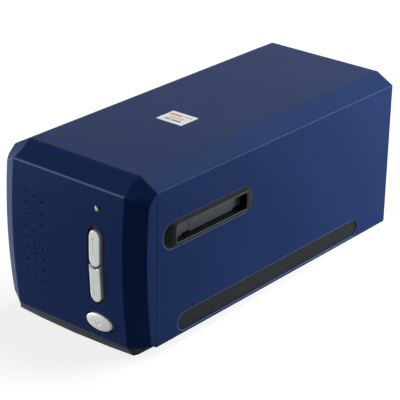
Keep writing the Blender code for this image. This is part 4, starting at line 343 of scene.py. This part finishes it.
def painted_fold_highlight(tree):
    """Lays a painted highlight, a pale line, along the fold between face and brow."""
    spot = node(tree, "SeparateXYZ", Vector=node(tree, "TexCoord").outputs["Object"])
    across = node(tree, "MapRange", Value=spot.outputs["Z"],
                  From_Min=FOLD_HEIGHT - FOLD_BELOW, From_Max=FOLD_HEIGHT + FOLD_ABOVE)
    crest = node(tree, "ValToRGB", Fac=across.outputs["Result"])
    ramp = crest.color_ramp
    ramp.interpolation = "EASE"
    for stop in ramp.elements:
        stop.color = (0.0, 0.0, 0.0, 1.0)
    ramp.elements.new(0.5).color = (1.0, 1.0, 1.0, 1.0)
    sideways = worked_out(tree, "Math", "ABSOLUTE", spot.outputs["X"])
    along = node(tree, "MapRange", Value=sideways.outputs["Value"],
                 From_Min=FOLD_HALF_LENGTH - FOLD_END_FADE,
                 From_Max=FOLD_HALF_LENGTH + FOLD_END_FADE, To_Min=1.0, To_Max=0.0)
    line = worked_out(tree, "Math", "MULTIPLY", crest.outputs["Color"], along.outputs["Result"])
    base = tree.nodes["Principled BSDF"].inputs["Base Color"]
    plain = base.links[0].from_socket
    tree.links.new(laid_over(tree, line.outputs["Value"], plain, FOLD_HIGHLIGHT_COLOUR), base)


BEZEL = moulded("satin_blue_bezel", colour=BLUE_COLOUR, rubbed=(0.020, 0.040, 0.120),
                roughness=0.42, pits=2600.0, depth=0.04 * MM, edge=0.6 * MM, dust=0.005,
                gloss=0.05, tint=BLUE_TINT)
painted_fold_highlight(BEZEL.node_tree)
bezel = softened("front_bezel_moulding", "front_bezel", BEZEL, 24, lowered)
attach(bezel, "casing")


# Base tray
# A dark grey moulding under everything. In front it ends in a skirt that starts flush under the
# blue face, with a bevel along its top, and runs inwards to just above the table.

DARK = moulded("charcoal_abs", colour=(0.036, 0.042, 0.058), rubbed=(0.085, 0.092, 0.115),
               roughness=0.46, pits=2200.0, depth=0.05 * MM, edge=0.8 * MM, gloss=0.12)
finish_nodes(DARK, "rear_panel")

LIP_START = -115 * MM
LIP_FRONT = -125 * MM
LIP_HALF_WIDTH = 48 * MM
SKIRT_WALL = 2.2 * MM
SKIRT_INNER_SHARE = 0.96
# The skirt's right half from its top to its foot: the height, then x and y from middle to back
SKIRT = ((7.0, (0.0, -129.0), (30.0, -128.9), (45.5, -128.6), (55.5, -121.5), (56.0, -106.0)),
         (5.3, (0.0, -129.8), (30.0, -129.6), (47.0, -129.2), (55.5, -122.5), (56.5, -106.0)),
         (4.2, (0.0, -129.9), (30.0, -129.6), (47.5, -128.8), (55.0, -122.0), (56.0, -106.0)),
         (0.6, (0.0, -129.0), (30.0, -128.1), (49.6, -126.6), (50.8, -123.0), (51.5, -106.0)))


def drawn_back(point):
    """The tray's front lip, set back so that the skirt covers it."""
    if point.y > LIP_START:
        return point
    return Vector((min(max(point.x, -LIP_HALF_WIDTH), LIP_HALF_WIDTH),
                   max(point.y, LIP_FRONT), point.z))


def add_skirt(built):
    """Adds the skirt to a mesh: a closed wall that runs round the front from side to side."""
    outer, inner = [], []
    for height, *half in SKIRT:
        line = [(-x, y) for x, y in reversed(half[1:])] + half
        outer.append([built.verts.new((x * MM, y * MM, height * MM)) for x, y in line])
        inner.append([built.verts.new((x * MM * SKIRT_INNER_SHARE, y * MM + SKIRT_WALL,
                                       height * MM)) for x, y in line])
    rings = list(zip(*[out + list(reversed(into)) for out, into in zip(outer, inner)]))
    count = len(rings)
    for here in range(count):
        column, following = rings[here], rings[(here + 1) % count]
        for level in range(len(SKIRT) - 1):
            built.faces.new((column[level], column[level + 1],
                             following[level + 1], following[level]))
    for out, into in ((outer[0], inner[0]), (outer[-1], inner[-1])):
        for step in range(len(out) - 1):
            built.faces.new((out[step], out[step + 1], into[step + 1], into[step]))
    bmesh.ops.recalc_face_normals(built, faces=built.faces)


tray = softened("base_tray_moulding", "base_tray", DARK, 30, drawn_back)
skirted = bmesh.new()
skirted.from_mesh(tray.data)
add_skirt(skirted)
skirted.to_mesh(tray.data)
skirted.free()
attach(tray, "casing")


# Feet and side strips
# Soft black rubber, dull, with a faint painted highlight along its edges. The feet are pressed into
# the tray, and the strips are glued into their seats along both sides.

RUBBER = moulded("black_rubber", colour=(0.014, 0.016, 0.018), rubbed=(0.045, 0.047, 0.050),
                 roughness=0.72, pits=1500.0, depth=0.08 * MM, edge=0.6 * MM, dust=0.10,
                 gloss=0.10)
finish_nodes(RUBBER, "foot_front_left", "foot_front_right", "foot_rear_left", "foot_rear_right",
             "right_side_strip", "left_side_strip")


# Slot bezels and dust flaps
# Both are moulded in charcoal plastic. The frame stands proud of the side, with pale painted
# highlights along its edges, and the flap hangs in it, greyer, with a painted highlight on its
# edges.

FRAME_TRIM = moulded("slot_frame_abs", colour=(0.0075, 0.0080, 0.0085),
                     rubbed=(0.120, 0.125, 0.150), roughness=0.42, pits=2400.0,
                     depth=0.03 * MM, edge=0.9 * MM, dust=0.005, gloss=0.05)
FLAP = moulded("dust_flap_abs", colour=(0.048, 0.055, 0.064), rubbed=(0.12, 0.12, 0.12),
               roughness=0.42, pits=2400.0, depth=0.03 * MM, edge=0.5 * MM, gloss=0.15)
finish_nodes(FRAME_TRIM, "right_slot_bezel", "left_slot_bezel")
finish_nodes(FLAP, "right_flap", "left_flap")


# Button surround
# A black insert with a fine texture that frames both scan buttons. It goes into the bezel from
# behind, where its flange rests on the wall. The chip on the main board has the same black.

BLACK = moulded("black_insert_abs", colour=(0.008, 0.009, 0.013), rubbed=(0.016, 0.020, 0.034),
                roughness=0.44, pits=2600.0, depth=0.03 * MM, edge=0.5 * MM, gloss=0.10)
finish_nodes(BLACK, "button_surround", "controller_chip")


# Scan and power buttons
# Caps moulded in silver-grey plastic with metal flake in it, satin, with a painted highlight along
# their edges. They stand in their openings with a dark margin all round.

SILVER = moulded("silver_flake_abs", colour=(0.78, 0.78, 0.79), rubbed=(0.90, 0.90, 0.90),
                 roughness=0.34, pits=4200.0, depth=0.01 * MM, edge=0.5 * MM, gloss=0.3)
SILVER.node_tree.nodes["Principled BSDF"].inputs["Metallic"].default_value = 0.25
# Each cap: its body, its width and height as shares of the solid's, and the height that stays put
CAPS = {"upper_scan": ("upper_button_body", 0.87, 0.985, 58.5 * MM),
        "lower_scan": ("lower_button_body", 0.87, 0.965, 34.0 * MM),
        "power": ("power_button_body", 0.93, 0.93, 18.2 * MM)}


def drawn_in(middle, width_share, still, height_share):
    """How a cap's points move towards its middle and towards the height that stays put."""
    def moved(point):
        return Vector((middle + width_share * (point.x - middle), point.y,
                       still + height_share * (point.z - still)))
    return moved


for place, (body, width_share, height_share, still) in CAPS.items():
    low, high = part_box(f"{place}_button")
    cap = softened(f"{place}_cap", f"{place}_button", SILVER, 30,
                   drawn_in((low.x + high.x) / 2, width_share, still, height_share))
    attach(cap, body)


# Status lamp lens
# Clear green moulding, lit from behind by a small lamp on the button board: its glow and a painted
# highlight make a bright core in the middle that fades to dark green at the rim, which covers the
# edge of its hole.

LENS_RIM_SHARE = 1.25
LENS_PROUD = 1.2 * MM
LENS_GLOW_REACH = 3.4 * MM
# The colour of the glow and painted highlight at two shares of its reach from the core, and the
# same beyond them
LENS_GLOW_AND_HIGHLIGHT = ((0.10, (0.26, 0.80, 0.32, 1.0)), (0.50, (0.0010, 0.0260, 0.0080, 1.0)))
lens_low, lens_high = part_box("status_led_lens")
LENS_X, LENS_Z = (lens_low.x + lens_high.x) / 2, (lens_low.z + lens_high.z) / 2


def glowing_lens_with_highlight():
    """Green plastic that glows round the middle of the lens, with a painted highlight there, and is
    dark at its rim.
    """
    made, tree, shader = new_material("lit_green_lens")
    place = node(tree, "TexCoord").outputs["Object"]
    core = (LENS_X, lens_low.y - LENS_PROUD, LENS_Z)
    from_core = worked_out(tree, "VectorMath", "SUBTRACT", place, core)
    distance = worked_out(tree, "VectorMath", "LENGTH", from_core.outputs["Vector"])
    reach = node(tree, "MapRange", Value=distance.outputs["Value"],
                 From_Min=0.0, From_Max=LENS_GLOW_REACH)
    fade = node(tree, "ValToRGB", Fac=reach.outputs["Result"])
    for stop, (share, colour) in zip(fade.color_ramp.elements, LENS_GLOW_AND_HIGHLIGHT):
        stop.position = share
        stop.color = colour
    tree.links.new(fade.outputs["Color"], shader.inputs["Base Color"])
    tree.links.new(fade.outputs["Color"], shader.inputs["Emission Color"])
    shader.inputs["Emission Strength"].default_value = 0.40
    shader.inputs["Roughness"].default_value = 0.25
    shader.inputs["Specular IOR Level"].default_value = 0.15
    return made


def domed(point):
    """The lens with the collar that covers its hole's edge."""
    return Vector((LENS_X + LENS_RIM_SHARE * (point.x - LENS_X), point.y - LENS_PROUD,
                   LENS_Z + LENS_RIM_SHARE * (point.z - LENS_Z)))


lens = softened("status_lens_moulding", "status_led_lens", glowing_lens_with_highlight(), 40, domed)
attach(lens, "casing")


# Metal pieces
# Bright drawn and turned steel: flap pins and springs, screws, rods, the detent leaf and the
# motor. The pinion on the motor's shaft is turned brass.

STREAK_CHANGE = 0.06


def metal(name, colour, roughness, grain):
    """Drawn or turned metal: fine streaks in its tone and gloss, and soft edges."""
    made, tree, shader = new_material(name)
    place = node(tree, "TexCoord").outputs["Object"]
    streak = node(tree, "TexNoise", Vector=place, Scale=grain, Detail=4.0, Roughness=0.6)
    edges = node(tree, "Group", {"node_tree": EDGES}, Width=0.3 * MM)
    tone = spread(tree, streak.outputs["Fac"], 0.85, 1.05)
    tree.links.new(shaded(tree, colour, tone), shader.inputs["Base Color"])
    gloss = spread(tree, streak.outputs["Fac"],
                   roughness - STREAK_CHANGE, roughness + STREAK_CHANGE)
    tree.links.new(gloss, shader.inputs["Roughness"])
    tree.links.new(edges.outputs["Normal"], shader.inputs["Normal"])
    shader.inputs["Metallic"].default_value = 1.0
    return made


def finish_slots(finishes):
    """Gives every CAD node that still has a plain material the finish named for its slot."""
    for name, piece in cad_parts.items():
        slot = piece.material_slots[0].material.name.split(".")[0]
        if slot in finishes:
            finish_nodes(finishes[slot], name)


STEEL = metal("bright_steel", (0.60, 0.60, 0.61), roughness=0.28, grain=1800.0)
BRASS = metal("turned_brass", (0.62, 0.45, 0.17), roughness=0.26, grain=1800.0)
finish_slots({"steel": STEEL, "brass": BRASS})


# Light path and scan carriage
# Baffles and carriage are matt black so that no stray light reaches the sensor. The diffuser and
# the lamp tube are opal, the mirror is silvered on its front face, and the boards are laminate.

BAFFLE = moulded("matt_black_baffle", colour=(0.012, 0.012, 0.012), rubbed=(0.04, 0.04, 0.04),
                 roughness=0.68, pits=1800.0, depth=0.06 * MM, edge=0.5 * MM)
OPAL = moulded("opal_acrylic", colour=(0.80, 0.80, 0.77), rubbed=(0.86, 0.86, 0.84),
               roughness=0.30, pits=900.0, depth=0.01 * MM, edge=0.4 * MM)
IVORY = moulded("natural_acetal", colour=(0.66, 0.64, 0.56), rubbed=(0.74, 0.72, 0.66),
                roughness=0.40, pits=1500.0, depth=0.02 * MM, edge=0.4 * MM)
MIRROR = metal("front_silvered_glass", (0.80, 0.85, 0.88), roughness=0.08, grain=400.0)
BOARD = moulded("green_laminate", colour=(0.014, 0.130, 0.050), rubbed=(0.30, 0.26, 0.12),
                roughness=0.32, pits=3000.0, depth=0.02 * MM, edge=0.3 * MM)
finish_slots({"baffle_plastic": BAFFLE, "opal_plastic": OPAL, "ivory_plastic": IVORY,
              "mirror_glass": MIRROR, "circuit_board": BOARD, "black_plastic": BLACK,
              "dark_plastic": DARK})


# Studio
# A white table and a white surround. A soft box stands close behind the scanner's right side, a
# large one hangs above and behind, and a low one lights the front from the left. The camera
# stands where the photograph was taken from.

def shown_white(tree):
    """1 where the camera sees the surround: directly, in a reflection or through clear stuff."""
    path = node(tree, "LightPath")
    direct = worked_out(tree, "Math", "MAXIMUM",
                        path.outputs["Is Camera Ray"], path.outputs["Is Glossy Ray"])
    both = worked_out(tree, "Math", "MAXIMUM",
                      direct.outputs["Value"], path.outputs["Is Transmission Ray"])
    return both.outputs["Value"]


FLOOR_REACH = 4
FLOOR_GLOW = 0.80
floor_mesh = bpy.data.meshes.new("studio_floor")
floor_mesh.from_pydata([(-FLOOR_REACH, -FLOOR_REACH, 0), (FLOOR_REACH, -FLOOR_REACH, 0),
                        (FLOOR_REACH, FLOOR_REACH, 0), (-FLOOR_REACH, FLOOR_REACH, 0)],
                       [], [(0, 1, 2, 3)])
floor = bpy.data.objects.new("studio_floor", floor_mesh)
bpy.context.scene.collection.objects.link(floor)
white, white_tree, paper = new_material("white_table")
paper.inputs["Base Color"].default_value = (0.30, 0.30, 0.30, 1.0)
paper.inputs["Roughness"].default_value = 0.9
paper.inputs["Specular IOR Level"].default_value = 0.0
paper.inputs["Emission Color"].default_value = (1.0, 1.0, 1.0, 1.0)
lift = node(white_tree, "MapRange", Value=shown_white(white_tree), To_Max=FLOOR_GLOW)
white_tree.links.new(lift.outputs["Result"], paper.inputs["Emission Strength"])
floor_mesh.materials.append(white)

SURROUND_LIGHT = 0.17
world = bpy.data.worlds.new("studio_surround")
bpy.context.scene.world = world
world.use_nodes = True
sky = world.node_tree.nodes["Background"]
sky.inputs["Color"].default_value = (1.0, 1.0, 1.0, 1.0)
level = node(world.node_tree, "MapRange", Value=shown_white(world.node_tree),
             To_Min=SURROUND_LIGHT, To_Max=1.0)
world.node_tree.links.new(level.outputs["Result"], sky.inputs["Strength"])


def soft_lamp(name, place, aim, size, power):
    """A soft box, width by height, that faces a point on the scanner."""
    data = bpy.data.lights.new(name, "AREA")
    data.shape = "RECTANGLE"
    data.energy = power
    data.size, data.size_y = size
    made = bpy.data.objects.new(name, data)
    bpy.context.scene.collection.objects.link(made)
    made.location = place
    made.rotation_euler = (Vector(aim) - Vector(place)).to_track_quat("-Z", "Y").to_euler()


soft_lamp("key_lamp", place=(0.40, 0.38, 0.19), aim=(0.06, 0.07, 0.06),
          size=(0.24, 0.24), power=3.5)
soft_lamp("top_lamp", place=(0.15, 1.00, 1.70), aim=(0.0, 0.0, 0.06),
          size=(1.2, 1.2), power=26.0)
soft_lamp("fill_lamp", place=(-0.92, -0.52, 0.07), aim=(0.0, -0.13, 0.05),
          size=(0.5, 0.12), power=10.0)

CAMERA_RIGHT = Vector((0.77137, 0.63616, 0.01696))
CAMERA_UP = Vector((-0.27049, 0.30363, 0.91359))
CAMERA_BACK = Vector((0.57604, -0.70930, 0.40629))
CAMERA_PLACE = Vector((0.66320, -0.81963, 0.51888))
camera_data = bpy.data.cameras.new("photo_camera")
camera_data.sensor_width = 36.0
camera_data.lens = 152.39
camera_data.clip_start = 0.01
camera = bpy.data.objects.new("photo_camera", camera_data)
bpy.context.scene.collection.objects.link(camera)
turned = Matrix((CAMERA_RIGHT, CAMERA_UP, CAMERA_BACK)).transposed().to_4x4()
camera.matrix_world = Matrix.Translation(CAMERA_PLACE) @ turned
bpy.context.scene.camera = camera
bpy.context.scene.view_settings.view_transform = "Standard"
